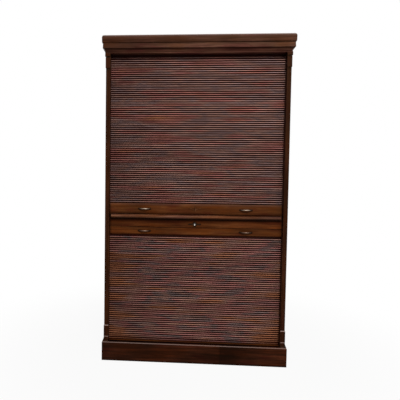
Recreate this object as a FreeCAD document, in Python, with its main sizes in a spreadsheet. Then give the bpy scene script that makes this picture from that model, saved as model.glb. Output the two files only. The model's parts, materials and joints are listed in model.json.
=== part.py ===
"""A tall roll front cabinet in hardwood, with a slatted curtain that rises and one that sinks.

Frame: origin at the middle of the footprint on the floor, X to the right as seen from the front,
Y from the front to the back, Z up. Lengths are in millimetres.
"""

import FreeCAD, Part
import math
import os

import Sketcher

doc = FreeCAD.newDocument("RollFrontCabinet")

# ---------------------------------------------------------------- driving dimensions

SIZES = (
    # the carcase
    ("overall_height", 2000),
    ("body_width", 1110),
    ("body_depth", 420),
    ("side_thickness", 25),
    ("top_thickness", 22),
    ("panel_thickness", 8),
    ("rebate_width", 12),
    ("back_board_count", 8),
    ("back_board_gap", 1.5),
    ("middle_height", 915),
    ("middle_thickness", 24),
    ("shelf_thickness", 18),
    ("shelf_clearance", 1),
    ("shelf_setback", 12),
    ("upper_shelf_count", 3),
    ("lower_shelf_count", 2),
    ("cleat_height", 20),
    ("cleat_width", 14),
    # the front: pilasters, their blocks, the cornice and the plinth
    ("pilaster_depth", 20),
    ("flute_width", 5),
    ("flute_depth", 1.5),
    ("block_projection", 4),
    ("block_overhang", 2),
    ("block_bevel", 2.5),
    ("capital_height", 64.5),
    ("neck_height", 6),
    ("neck_projection", 0.8),
    ("cap_height", 17),
    ("cap_projection", 5),
    ("foot_block_height", 72),
    ("foot_height", 30),
    ("foot_spread", 9),
    ("foot_lip", 4),
    ("cornice_height", 108),
    ("cornice_projection", 22),
    ("fascia_height", 41),
    ("fascia_round", 18),
    ("band_height", 33),
    ("band_projection", 17),
    ("cove_projection", 13),
    ("cornice_lip_projection", 4),
    ("cornice_lip_height", 5),
    ("plinth_height", 118),
    ("plinth_projection", 12),
    ("plinth_bevel", 5),
    ("plinth_back_height", 50),
    ("plinth_back_thickness", 18),
    ("bottom_board_height", 25),
    ("bottom_board_thickness", 12),
    ("corner_block_leg", 45),
    ("ledge_thickness", 18),
    ("nosing_depth", 28),
    ("nosing_end_gap", 13),
    # the curtains and the tracks they run in
    ("rail_recess", 32),
    ("slat_recess", 40),
    ("slat_thickness", 8),
    ("slat_pitch", 13),
    ("slat_gap", 0.6),
    ("slat_crown", 3.4),
    ("canvas_thickness", 1),
    ("canvas_inset", 25),
    ("canvas_lap", 14),
    ("lead_rail_height", 67.5),
    ("lock_board_height", 54),
    ("handle_board_height", 48),
    ("rail_round", 3.5),
    ("tambour_gap", 0.5),
    ("end_clearance", 1),
    ("track_depth", 9),
    ("track_clearance", 0.5),
    ("bend_radius", 45),
    ("run_offset", 13),
    ("lower_run_height", 60),
    ("track_spare", 40),
    ("stop_width", 30),
    ("stop_height", 18),
    ("stop_lift", 6),
    # the pulls
    ("handle_spacing", 624),
    ("handle_span", 70),
    ("handle_rise", 20),
    ("handle_end_radius", 2.6),
    ("handle_swell", 2.6),
    ("handle_foot_radius", 6.5),
    ("handle_foot_height", 3),
    ("bolt_radius", 2),
    ("bolt_head_radius", 4.5),
    ("bolt_head_height", 3),
    ("bolt_clearance", 0.25),
    # the locks
    ("upper_keyhole_height", 36),
    ("lower_keyhole_drop", 33.5),
    ("lock_width", 52),
    ("lock_depth", 10),
    ("lock_margin", 14),
    ("lock_wall", 1.5),
    ("lock_clearance", 0.2),
    ("keyhole_radius", 3.2),
    ("keyhole_slot", 3),
    ("keyhole_drop", 9),
    ("claw_outer_radius", 16),
    ("claw_inner_radius", 11),
    ("claw_hub_radius", 4),
    ("claw_thickness", 5),
    ("claw_pivot_inset", 6),
    ("claw_pivot_offset", 8),
    ("claw_pin_radius", 1.8),
    ("running_clearance", 0.05),
    ("strike_length", 44),
    ("strike_width", 12),
    ("strike_thickness", 2),
    ("strike_clearance", 1.2),
    ("mortise_depth", 10.5),
    ("plate_length", 80),
    ("plate_height", 32),
    ("plate_thickness", 1.2),
    ("plate_waist", 13),
    ("plate_waist_height", 10),
    ("plate_wing_height", 12),
    ("plate_wing_inset", 11),
    ("cover_pivot_height", 6.5),
    ("cover_length", 11),
    ("cover_top_radius", 2.4),
    ("cover_bottom_radius", 3.4),
    ("cover_thickness", 1.2),
    ("cover_gap", 0.3),
    ("rivet_radius", 1.2),
    ("rivet_head_radius", 2.2),
    ("rivet_head_height", 0.9),
)

sheet = doc.addObject("Spreadsheet::Sheet", "Sizes")
for row, (alias, value) in enumerate(SIZES, start=1):
    sheet.set(f"A{row}", alias)
    sheet.set(f"B{row}", str(value))
    sheet.setAlias(f"B{row}", alias)
doc.recompute()

# ---------------------------------------------------------------- places worked out from them

FRONT = "((Sizes.cornice_projection - Sizes.body_depth) / 2)"
BACK = f"({FRONT} + Sizes.body_depth)"
OUTER = "(Sizes.body_width / 2)"
INNER = f"({OUTER} - Sizes.side_thickness)"
SIDE_FRONT = f"({FRONT} + Sizes.pilaster_depth)"
TOP_UNDER = "(Sizes.overall_height - Sizes.top_thickness)"
FRIEZE_UNDER = "(Sizes.overall_height - Sizes.cornice_height)"
MIDDLE_TOP = "Sizes.middle_height"
MIDDLE_UNDER = "(Sizes.middle_height - Sizes.middle_thickness)"
PLINTH_TOP = "Sizes.plinth_height"

RAIL_FACE = f"({FRONT} + Sizes.rail_recess)"
SLAT_FACE = f"({FRONT} + Sizes.slat_recess)"
SLAT_BACK = f"({SLAT_FACE} + Sizes.slat_thickness)"
CANVAS_BACK = f"({SLAT_BACK} + Sizes.canvas_thickness)"
SLAT_END = f"({INNER} + Sizes.track_depth - Sizes.end_clearance)"
RAIL_END = f"({INNER} - Sizes.end_clearance)"
CANVAS_END = f"({INNER} - Sizes.canvas_inset)"

TRACK = f"({SLAT_FACE} + Sizes.slat_thickness / 2)"
TRACK_HALF = "(Sizes.slat_thickness / 2 + Sizes.track_clearance)"
BACK_BOARD_FACE = f"({BACK} - Sizes.panel_thickness)"
TRACK_BACK = f"({BACK_BOARD_FACE} - Sizes.run_offset)"
UPPER_RUN = f"({TOP_UNDER} - Sizes.run_offset)"
UPPER_BEND = f"({UPPER_RUN} - Sizes.bend_radius)"
LOWER_BEND = "(Sizes.lower_run_height + Sizes.bend_radius)"

FALSE_BACK_REAR = f"({TRACK_BACK} - Sizes.run_offset)"
FALSE_BACK_FACE = f"({FALSE_BACK_REAR} - Sizes.panel_thickness)"
BOARD_FRONT = f"({SLAT_BACK} + Sizes.track_clearance + Sizes.shelf_clearance)"
SHELF_FRONT = f"({BOARD_FRONT} + Sizes.shelf_setback)"
CEILING_UNDER = f"({UPPER_BEND} - Sizes.shelf_clearance - Sizes.shelf_thickness)"
FLOOR_TOP = f"({LOWER_BEND} + Sizes.shelf_clearance + Sizes.shelf_thickness)"

RAIL_BOTTOM = f"({MIDDLE_TOP} + Sizes.tambour_gap)"
RAIL_TOP = f"({RAIL_BOTTOM} + Sizes.lead_rail_height)"
LOCK_BOARD_TOP = f"({MIDDLE_UNDER} - Sizes.tambour_gap)"
LOCK_BOARD_BOTTOM = f"({LOCK_BOARD_TOP} - Sizes.lock_board_height)"
HANDLE_BOARD_TOP = f"({LOCK_BOARD_BOTTOM} - Sizes.slat_gap)"
HANDLE_BOARD_BOTTOM = f"({HANDLE_BOARD_TOP} - Sizes.handle_board_height)"
STOP_UNDER = f"({FRIEZE_UNDER} + Sizes.stop_lift)"
UPPER_TRAVEL = f"({STOP_UNDER} - Sizes.tambour_gap - {RAIL_TOP})"
LOWER_TRAVEL = f"({HANDLE_BOARD_BOTTOM} - Sizes.tambour_gap - {PLINTH_TOP})"
UPPER_SLATS = f"floor(({UPPER_BEND} - {RAIL_TOP}) / Sizes.slat_pitch)"
LOWER_SLATS = f"floor(({HANDLE_BOARD_BOTTOM} - {LOWER_BEND}) / Sizes.slat_pitch)"

UPPER_KEYHOLE = f"({RAIL_BOTTOM} + Sizes.upper_keyhole_height)"
LOWER_KEYHOLE = f"({LOCK_BOARD_TOP} - Sizes.lower_keyhole_drop)"
LOCK_FACE = f"({SLAT_BACK} - Sizes.lock_depth)"
CLAW_MIDDLE = f"({SLAT_BACK} - Sizes.lock_depth / 2)"
CLAW_FACE = f"({CLAW_MIDDLE} - Sizes.claw_thickness / 2)"
CLAW_REAR = f"({CLAW_MIDDLE} + Sizes.claw_thickness / 2)"
UPPER_PIVOT = f"({RAIL_BOTTOM} + Sizes.claw_pivot_inset)"
LOWER_PIVOT = f"({LOCK_BOARD_TOP} - Sizes.claw_pivot_inset)"
PIVOT_X = "(-Sizes.claw_pivot_offset)"

CLAW_ARC = 40
CLAW_WEB_ANGLE = 30
CLAW_HUB_ANGLES = (100, 200, 300)
BOW_SECTIONS = 9
BOW_END_ANGLE = 90

pieces = {}


# ---------------------------------------------------------------- building blocks


def number(expression):
    """The value of an expression over the sheet."""
    return float(sheet.evalExpression(str(expression)))


def whole(expression):
    """The value of an expression as a count."""
    return int(round(number(expression)))


def piece(name, solid):
    """Names a finished sub-part."""
    solid.Label = name
    pieces[name] = solid
    return solid


def box(name, x, y, z):
    """A block between three pairs of bounds."""
    block = doc.addObject("Part::Box", name)
    for side, axis, (low, high) in zip(("Length", "Width", "Height"), "xyz", (x, y, z)):
        block.setExpression(side, f"({high}) - ({low})")
        block.setExpression(f"Placement.Base.{axis}", str(low))
    return block


def rod(name, radius, x, y, z):
    """A round bar along Y between the two bounds in y."""
    low, high = y
    bar = doc.addObject("Part::Cylinder", name)
    bar.setExpression("Radius", radius)
    bar.setExpression("Height", f"({high}) - ({low})")
    bar.Placement.Rotation = FreeCAD.Rotation(FreeCAD.Vector(1, 0, 0), -90)
    for axis, place in zip("xyz", (x, low, z)):
        bar.setExpression(f"Placement.Base.{axis}", place)
    return bar


def joined(name, shapes):
    """One solid made of touching or overlapping shapes."""
    result = doc.addObject("Part::MultiFuse", name)
    result.Shapes = shapes
    return result


def together(name, shapes):
    """Separate solids kept in one sub-part."""
    result = doc.addObject("Part::Compound", name)
    result.Links = shapes
    return result


def cut(name, base, tools):
    """A shape with others taken out of it."""
    result = doc.addObject("Part::Cut", name)
    result.Base = base
    result.Tool = tools[0] if len(tools) == 1 else joined(f"{name}_tools", tools)
    return result


def origin_feature(body, role):
    """One of a body's own origin planes or axes."""
    return next(feature for feature in body.Origin.OriginFeatures if feature.Role == role)


def arc_between(start, end, radius, turn):
    """The shorter arc from start to end, turning left (+1) or right (-1) on the way."""
    chord = end - start
    rise = math.sqrt(max(radius**2 - (chord.Length / 2) ** 2, 0.0))
    left = FreeCAD.Vector(-chord.y, chord.x, 0).normalize()
    centre = start + chord / 2 + left * rise * turn
    first, last = (start, end) if turn > 0 else (end, start)
    angles = [math.atan2(point.y - centre.y, point.x - centre.x) for point in (first, last)]
    if angles[1] < angles[0]:
        angles[1] += 2 * math.pi
    circle = Part.Circle(centre, FreeCAD.Vector(0, 0, 1), radius)
    return Part.ArcOfCircle(circle, angles[0], angles[1])


def draw(body, name, plane, offset, outlines):
    """A sketch on an origin plane of the body, moved along the plane's normal by the offset.

    An outline is a ring of corners (u, v), each followed by a straight side, or (u, v, radius,
    turn), followed by an arc. Every corner and radius is held by a constraint bound to the sheet.
    """
    sketch = body.newObject("Sketcher::SketchObject", name)
    sketch.AttachmentSupport = [(origin_feature(body, plane), "")]
    sketch.MapMode = "FlatFace"
    sketch.setExpression("AttachmentOffset.Base.z", str(offset))
    curves = []
    rules = []
    bindings = []
    for outline in outlines:
        first = len(curves)
        count = len(outline)
        corners = [FreeCAD.Vector(number(side[0]), number(side[1]), 0) for side in outline]
        begins = []
        for index, side in enumerate(outline):
            start, end = corners[index], corners[(index + 1) % count]
            if len(side) == 2:
                curves.append(Part.LineSegment(start, end))
                begins.append((1, 2))
            else:
                curves.append(arc_between(start, end, number(side[2]), side[3]))
                begins.append((1, 2) if side[3] > 0 else (2, 1))
        for index, side in enumerate(outline):
            here, following = first + index, first + (index + 1) % count
            begin, finish = begins[index]
            next_begin = begins[(index + 1) % count][0]
            corner = corners[index]
            rules.append(Sketcher.Constraint("Coincident", here, finish, following, next_begin))
            bindings.append((len(rules), side[0]))
            rules.append(Sketcher.Constraint("DistanceX", -1, 1, here, begin, corner.x))
            bindings.append((len(rules), side[1]))
            rules.append(Sketcher.Constraint("DistanceY", -1, 1, here, begin, corner.y))
            if len(side) > 2:
                bindings.append((len(rules), side[2]))
                rules.append(Sketcher.Constraint("Radius", here, number(side[2])))
    sketch.addGeometry(curves, False)
    sketch.addConstraint(rules)
    for place, expression in bindings:
        sketch.setExpression(f"Constraints[{place}]", str(expression))
    sketch.Visibility = False
    return sketch


NORMALS = {"XY_Plane": 1, "XZ_Plane": -1, "YZ_Plane": 1}


def pad(body, name, plane, outlines, low, high):
    """Material between two heights along the axis that the plane faces."""
    offset = low if NORMALS[plane] > 0 else f"-({high})"
    feature = body.newObject("PartDesign::Pad", name)
    feature.Profile = draw(body, f"{name}_sketch", plane, offset, outlines)
    feature.setExpression("Length", f"({high}) - ({low})")
    body.Tip = feature
    return feature


def pocket(body, name, plane, outlines, low, high):
    """A recess between two heights along the axis that the plane faces."""
    offset = high if NORMALS[plane] > 0 else f"-({low})"
    feature = body.newObject("PartDesign::Pocket", name)
    feature.Profile = draw(body, f"{name}_sketch", plane, offset, outlines)
    feature.setExpression("Length", f"({high}) - ({low})")
    body.Tip = feature
    return feature


def prism(name, plane, outlines, low, high):
    """A body of one pad."""
    body = doc.addObject("PartDesign::Body", name)
    pad(body, f"{name}_pad", plane, outlines, low, high)
    return body


def rectangle(u, v):
    """The outline of a rectangle between two pairs of bounds."""
    (left, right), (low, high) = u, v
    return [(left, low), (right, low), (right, high), (left, high)]


def side_span(side, near, far):
    """The bounds in x between two distances from the middle, on one side of the cabinet."""
    return (near, far) if side > 0 else (f"-({far})", f"-({near})")


def turned(outline):
    """An outline mirrored in its first coordinate, still running the same way round."""
    count = len(outline)
    mirrored = []
    for index in range(count):
        corner = outline[-index % count]
        arc = outline[(-index - 1) % count][2:]
        mirrored.append((f"-({corner[0]})", corner[1], *arc))
    return mirrored


# ---------------------------------------------------------------- the sides and their tracks


def track_outline(start, bend, end, way):
    """The channel of one curtain: up (way +1) or down the front, across and along the back."""
    half = TRACK_HALF
    radius = "Sizes.bend_radius"
    run = f"({bend} + {way} * {radius})"
    outer_radius = f"{radius} + {half}"
    inner_radius = f"{radius} - {half}"
    outside = f"({run} + {way} * {half})"
    inside = f"({run} - {way} * {half})"
    turn = -way
    return [
        (f"{TRACK} - {half}", start),
        (f"{TRACK} - {half}", bend, outer_radius, turn),
        (f"{TRACK} + {radius}", outside),
        (f"{TRACK_BACK} - {radius}", outside, outer_radius, turn),
        (f"{TRACK_BACK} + {half}", bend),
        (f"{TRACK_BACK} + {half}", end),
        (f"{TRACK_BACK} - {half}", end),
        (f"{TRACK_BACK} - {half}", bend, inner_radius, -turn),
        (f"{TRACK_BACK} - {radius}", inside),
        (f"{TRACK} + {radius}", inside, inner_radius, -turn),
        (f"{TRACK} + {half}", bend),
        (f"{TRACK} + {half}", start),
    ]


def track_stored(travel):
    """The length of curtain that lies in the back run when its front is all the way open."""
    across = f"({TRACK_BACK} - {TRACK} - 2 * Sizes.bend_radius)"
    return f"({travel} - pi * Sizes.bend_radius - {across} + Sizes.track_spare)"


def make_side(name, side):
    """A side board with a channel for each curtain, a housing and a rebate on its inner face."""
    body = doc.addObject("PartDesign::Body", name)
    low, high = side_span(side, INNER, OUTER)
    outline = rectangle((SIDE_FRONT, BACK), ("0", TOP_UNDER))
    pad(body, f"{name}_board", "YZ_Plane", [outline], low, high)
    upper = track_outline(MIDDLE_TOP, UPPER_BEND, f"{UPPER_BEND} - {track_stored(UPPER_TRAVEL)}", 1)
    lower = track_outline(MIDDLE_UNDER, LOWER_BEND, f"{LOWER_BEND} + {track_stored(LOWER_TRAVEL)}", -1)
    housing = rectangle((BOARD_FRONT, BACK_BOARD_FACE), (MIDDLE_UNDER, MIDDLE_TOP))
    rebate = rectangle((BACK_BOARD_FACE, BACK), ("Sizes.plinth_back_height", TOP_UNDER))
    channel = side_span(side, INNER, f"({INNER} + Sizes.track_depth)")
    step = side_span(side, INNER, f"({INNER} + Sizes.rebate_width)")
    for label, recess, (start, stop) in (
        ("upper_track", upper, channel),
        ("lower_track", lower, channel),
        ("housing", housing, channel),
        ("rebate", rebate, step),
    ):
        pocket(body, f"{name}_{label}", "YZ_Plane", [recess], start, stop)
    piece(name, body)


make_side("side_left", -1)
make_side("side_right", 1)


# ---------------------------------------------------------------- the front frame


def make_pilaster(name, side):
    """The strip on the front edge of a side, with one shallow flute down its face."""
    middle = f"(({INNER} + {OUTER}) / 2)"
    half = "Sizes.flute_width / 2"
    reach = "(Sizes.flute_width ^ 2 / 4 + Sizes.flute_depth ^ 2) / (2 * Sizes.flute_depth)"
    outline = [
        (INNER, FRONT),
        (f"{middle} - {half}", FRONT, reach, -1),
        (f"{middle} + {half}", FRONT),
        (OUTER, FRONT),
        (OUTER, SIDE_FRONT),
        (INNER, SIDE_FRONT),
    ]
    if side < 0:
        outline = turned(outline)
    piece(name, prism(name, "XY_Plane", [outline], PLINTH_TOP, TOP_UNDER))


FOOT_TOP = f"({PLINTH_TOP} + Sizes.foot_height)"
FOOT_BLOCK_TOP = f"({FOOT_TOP} + Sizes.foot_block_height)"
CAP_UNDER = f"({FRIEZE_UNDER} - Sizes.cap_height)"
CAPITAL_TOP = f"({CAP_UNDER} - Sizes.neck_height)"
CAPITAL_UNDER = f"({CAPITAL_TOP} - Sizes.capital_height)"


def block_outline(inside, wall, reach, run, low, high):
    """The section of a plain block on a wall, with its upper and lower edges bevelled."""
    return [
        (inside, low),
        (f"{wall} + {reach} - {run}", low),
        (f"{wall} + {reach}", f"{low} + Sizes.block_bevel"),
        (f"{wall} + {reach}", f"{high} - Sizes.block_bevel"),
        (f"{wall} + {reach} - {run}", high),
        (inside, high),
    ]


def base_block_outline(inside, wall, reach, run):
    """The section of the block at the foot of a pilaster."""
    return block_outline(inside, wall, reach, run, FOOT_TOP, FOOT_BLOCK_TOP)


def capital_outline(inside, wall, reach, run):
    """The section of a capital: a block, a thin neck above it and a cap under the cornice."""
    neck = f"{wall} + Sizes.neck_projection"
    cap = f"{wall} + Sizes.cap_projection"
    return [
        *block_outline(inside, wall, reach, run, CAPITAL_UNDER, CAPITAL_TOP)[:-1],
        (neck, CAPITAL_TOP),
        (neck, CAP_UNDER),
        (cap, CAP_UNDER),
        (cap, FRIEZE_UNDER),
        (inside, FRIEZE_UNDER),
    ]


def make_blocks(name, section, low, high):
    """A block on each pilaster, returned along the pilaster's outer side."""
    near = f"({INNER} - Sizes.block_overhang)"
    beyond = "(Sizes.block_projection + Sizes.cap_projection)"
    side_run = "(Sizes.block_overhang / 2)"
    forward = turned(section(f"-{SIDE_FRONT}", f"-{FRONT}", "Sizes.block_projection", "Sizes.block_bevel"))
    blocks = []
    for word, side in (("left", -1), ("right", 1)):
        across = section(near, OUTER, "Sizes.block_overhang", side_run)
        if side < 0:
            across = turned(across)
        label = f"{name}_{word}"
        outer = prism(f"{label}_across", "XZ_Plane", [across], f"{FRONT} - {beyond}", SIDE_FRONT)
        front = prism(f"{label}_forward", "YZ_Plane", [forward],
                      *side_span(side, near, f"({OUTER} + {beyond})"))
        both = doc.addObject("Part::Common", f"{label}_moulded")
        both.Base = outer
        both.Tool = front
        core = box(f"{label}_core", side_span(side, near, OUTER), (FRONT, SIDE_FRONT), (low, high))
        blocks.append(cut(label, both, [core]))
    piece(name, together(name, blocks))


FOOT_COVE = "(Sizes.foot_spread - Sizes.block_overhang)"
FOOT_RISE = "(Sizes.foot_height - Sizes.foot_lip)"


def cove_radius(run, rise):
    """The radius of the hollow that goes over by run and up by rise and ends upright."""
    return f"(({run}) ^ 2 + ({rise}) ^ 2) / (2 * ({run}))"


def foot_outline(inside, outside):
    """The section of the base moulding: an upright lip, then a hollow that thins towards the top."""
    return [
        (inside, PLINTH_TOP),
        (f"{outside} + Sizes.foot_spread", PLINTH_TOP),
        (f"{outside} + Sizes.foot_spread", f"{PLINTH_TOP} + Sizes.foot_lip",
         cove_radius(FOOT_COVE, FOOT_RISE), -1),
        (f"{outside} + Sizes.block_overhang", FOOT_TOP),
        (inside, FOOT_TOP),
    ]


def make_foot(name, side):
    """The spreading foot of a pilaster, moulded on its front and its outer side alike."""
    across = foot_outline(INNER, OUTER)
    if side < 0:
        across = turned(across)
    spread = f"({FRONT} - Sizes.foot_spread)"
    outer = prism(f"{name}_across", "XZ_Plane", [across], spread, FRONT)
    forward = turned(foot_outline(f"-{FRONT}", f"-{FRONT}"))
    near, far = side_span(side, INNER, f"({OUTER} + Sizes.foot_spread)")
    front = prism(f"{name}_forward", "YZ_Plane", [forward], near, far)
    foot = doc.addObject("Part::Common", name)
    foot.Base = outer
    foot.Tool = front
    piece(name, foot)


def make_base_moulding(name, side):
    """The same moulding along the foot of a side board."""
    outline = foot_outline(OUTER, OUTER)
    if side < 0:
        outline = turned(outline)
    piece(name, prism(name, "XZ_Plane", [outline], FRONT, BACK))


for word, side in (("left", -1), ("right", 1)):
    make_pilaster(f"pilaster_{word}", side)
    make_foot(f"pilaster_foot_{word}", side)
    make_base_moulding(f"base_moulding_{word}", side)
make_blocks("capitals", capital_outline, CAPITAL_UNDER, FRIEZE_UNDER)
make_blocks("base_blocks", base_block_outline, FOOT_TOP, FOOT_BLOCK_TOP)


# ---------------------------------------------------------------- top and cornice


def cornice_outline(wall):
    """The cornice's section: lip, cove, band and rounded fascia, outwards from the wall."""
    top = "Sizes.overall_height"
    fascia_under = f"({top} - Sizes.fascia_height)"
    band_under = f"({fascia_under} - Sizes.band_height)"
    lip_top = f"({FRIEZE_UNDER} + Sizes.cornice_lip_height)"
    cove_run = "(Sizes.cove_projection - Sizes.cornice_lip_projection)"
    cove_rise = f"({band_under} - {lip_top})"
    return [
        (wall, FRIEZE_UNDER),
        (f"{wall} + Sizes.cornice_lip_projection", FRIEZE_UNDER),
        (f"{wall} + Sizes.cornice_lip_projection", lip_top, cove_radius(cove_run, cove_rise), -1),
        (f"{wall} + Sizes.cove_projection", band_under),
        (f"{wall} + Sizes.band_projection", band_under),
        (f"{wall} + Sizes.band_projection", fascia_under),
        (f"{wall} + Sizes.cornice_projection", fascia_under),
        (f"{wall} + Sizes.cornice_projection", f"{top} - Sizes.fascia_round", "Sizes.fascia_round", 1),
        (f"{wall} + Sizes.cornice_projection - Sizes.fascia_round", top),
        (wall, top),
    ]


def make_cornice():
    """A front length and two returns of one moulding, mitred where they meet."""
    reach = f"({OUTER} + Sizes.cornice_projection)"
    tip = f"({FRONT} - Sizes.cornice_projection)"
    top = "Sizes.overall_height"
    front = doc.addObject("PartDesign::Body", "cornice_front")
    profile = turned(cornice_outline(f"-{FRONT}"))
    pad(front, "cornice_front_length", "YZ_Plane", [profile], f"-{reach}", reach)
    waste = [(OUTER, FRONT), (reach, tip), (reach, FRONT)]
    pocket(front, "cornice_front_mitres", "XY_Plane", [waste, turned(waste)], FRIEZE_UNDER, top)
    piece("cornice_front", front)
    for word, side in (("left", -1), ("right", 1)):
        profile = cornice_outline(OUTER)
        waste = [(OUTER, FRONT), (OUTER, tip), (reach, tip)]
        if side < 0:
            profile, waste = turned(profile), turned(waste)
        body = doc.addObject("PartDesign::Body", f"cornice_{word}")
        pad(body, f"cornice_{word}_length", "XZ_Plane", [profile], tip, BACK)
        pocket(body, f"cornice_{word}_mitre", "XY_Plane", [waste], FRIEZE_UNDER, top)
        piece(f"cornice_{word}", body)


make_cornice()
WIDE = (f"-{OUTER}", OUTER)
BETWEEN = (f"-{INNER}", INNER)
piece("top_board", box("top_board", WIDE, (FRONT, BACK), (TOP_UNDER, "Sizes.overall_height")))
piece("frieze_rail", box("frieze_rail", BETWEEN, (FRONT, SIDE_FRONT), (FRIEZE_UNDER, TOP_UNDER)))


def make_stops():
    """Two blocks behind the frieze that the upper lead rail comes up against."""
    rear = f"({SLAT_FACE} - Sizes.end_clearance)"
    blocks = []
    for side in (-1, 1):
        span = side_span(side, f"({INNER} - Sizes.stop_width)", INNER)
        height = (STOP_UNDER, f"({STOP_UNDER} + Sizes.stop_height)")
        blocks.append(box(f"stop_{len(blocks)}", span, (SIDE_FRONT, rear), height))
    piece("tambour_stops", together("tambour_stops", blocks))


make_stops()

# ---------------------------------------------------------------- plinth and floor


def make_plinth():
    """A bevelled front, two applied side boards, a back rail, a bottom and its glue blocks."""
    bevel = "Sizes.plinth_bevel"
    reach = f"({OUTER} + Sizes.plinth_projection)"
    face = f"({FRONT} - Sizes.plinth_projection)"
    front = doc.addObject("PartDesign::Body", "plinth_front")
    section = [
        (face, "0"),
        (SIDE_FRONT, "0"),
        (SIDE_FRONT, PLINTH_TOP),
        (f"{face} + {bevel}", PLINTH_TOP),
        (face, f"{PLINTH_TOP} - {bevel}"),
    ]
    pad(front, "plinth_front_length", "YZ_Plane", [section], f"-{reach}", reach)
    waste = [
        (reach, f"{PLINTH_TOP} - {bevel}"),
        (reach, PLINTH_TOP),
        (f"{reach} - {bevel}", PLINTH_TOP),
    ]
    pocket(front, "plinth_front_ends", "XZ_Plane", [waste, turned(waste)], face, SIDE_FRONT)
    piece("plinth_front", front)
    for word, side in (("left", -1), ("right", 1)):
        section = [
            (OUTER, "0"),
            (reach, "0"),
            (reach, f"{PLINTH_TOP} - {bevel}"),
            (f"{reach} - {bevel}", PLINTH_TOP),
            (OUTER, PLINTH_TOP),
        ]
        if side < 0:
            section = turned(section)
        name = f"plinth_{word}"
        piece(name, prism(name, "XZ_Plane", [section], SIDE_FRONT, BACK))
    rail_face = f"({BACK} - Sizes.plinth_back_thickness)"
    piece("plinth_back", box("plinth_back", BETWEEN, (rail_face, BACK), ("0", "Sizes.plinth_back_height")))
    bottom_top = "(Sizes.bottom_board_height + Sizes.bottom_board_thickness)"
    levels = ("Sizes.bottom_board_height", bottom_top)
    piece("bottom_board", box("bottom_board", BETWEEN, (SIDE_FRONT, rail_face), levels))
    leg = "Sizes.corner_block_leg"
    blocks = []
    for wall, way in ((SIDE_FRONT, "+"), (rail_face, "-")):
        corner = [(INNER, wall), (INNER, f"{wall} {way} {leg}"), (f"{INNER} - {leg}", wall)]
        if way == "-":
            corner.reverse()
        for outline in (corner, turned(corner)):
            name = f"corner_block_{len(blocks)}"
            blocks.append(prism(name, "XY_Plane", [outline], "0", "Sizes.bottom_board_height"))
    piece("corner_blocks", together("corner_blocks", blocks))


make_plinth()
LEDGE_REAR = f"({SLAT_FACE} - Sizes.end_clearance)"
LEDGE_LEVELS = (f"({PLINTH_TOP} - Sizes.ledge_thickness)", PLINTH_TOP)
piece("front_ledge", box("front_ledge", BETWEEN, (SIDE_FRONT, LEDGE_REAR), LEDGE_LEVELS))

# ---------------------------------------------------------------- inside boards and the back


def make_middle_shelf():
    """The fixed shelf between the curtains, housed in the sides and let in for the two strikes."""
    body = doc.addObject("PartDesign::Body", "middle_shelf")
    rear_end = f"({INNER} + Sizes.track_depth)"
    front = f"({FRONT} + Sizes.nosing_depth)"
    plan = [
        (f"-{RAIL_END}", front),
        (RAIL_END, front),
        (RAIL_END, BOARD_FRONT),
        (rear_end, BOARD_FRONT),
        (rear_end, BACK_BOARD_FACE),
        (f"-{rear_end}", BACK_BOARD_FACE),
        (f"-{rear_end}", BOARD_FRONT),
        (f"-{RAIL_END}", BOARD_FRONT),
    ]
    pad(body, "middle_shelf_board", "XY_Plane", [plan], MIDDLE_UNDER, MIDDLE_TOP)
    inlay = rectangle(strike_span(), strike_depth())
    claw = (f"({CLAW_FACE} - Sizes.lock_clearance)", f"({CLAW_REAR} + Sizes.lock_clearance)")
    mortise = rectangle(mortise_span(), claw)
    skin = "Sizes.strike_thickness"
    depth = "Sizes.mortise_depth"
    pocket(body, "upper_inlay", "XY_Plane", [inlay], f"{MIDDLE_TOP} - {skin}", MIDDLE_TOP)
    pocket(body, "upper_mortise", "XY_Plane", [mortise], f"{MIDDLE_TOP} - {depth}", MIDDLE_TOP)
    pocket(body, "lower_mortise", "XY_Plane", [mortise], MIDDLE_UNDER, f"{MIDDLE_UNDER} + {depth}")
    pocket(body, "lower_inlay", "XY_Plane", [inlay], MIDDLE_UNDER, f"{MIDDLE_UNDER} + {skin}")
    piece("middle_shelf", body)


def claw_cross(depth, radius):
    """How far from its pivot a circle of the claw crosses a level below the pivot."""
    return f"sqrt(({radius}) ^ 2 - ({depth}) ^ 2)"


STRIKE_DEPTH = "(Sizes.claw_pivot_inset + Sizes.tambour_gap)"


def slot_span():
    """The bounds in x of the slot that the claw passes through."""
    under = f"{STRIKE_DEPTH} + Sizes.strike_thickness"
    near = claw_cross(under, "Sizes.claw_inner_radius")
    far = claw_cross(STRIKE_DEPTH, "Sizes.claw_outer_radius")
    return (
        f"({PIVOT_X} + {near} - Sizes.strike_clearance)",
        f"({PIVOT_X} + {far} + Sizes.strike_clearance / 2)",
    )


def mortise_span():
    """The bounds in x of the hollow behind the slot, which the claw turns into."""
    return (f"{PIVOT_X}", slot_span()[1])


def strike_span():
    """The bounds in x of a strike plate, centred on its slot."""
    near, far = slot_span()
    middle = f"(({near} + {far}) / 2)"
    return (f"({middle} - Sizes.strike_length / 2)", f"({middle} + Sizes.strike_length / 2)")


def strike_depth():
    """The bounds in y of a strike plate."""
    half = "Sizes.strike_width / 2"
    return (f"({CLAW_MIDDLE} - {half})", f"({CLAW_MIDDLE} + {half})")


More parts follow.
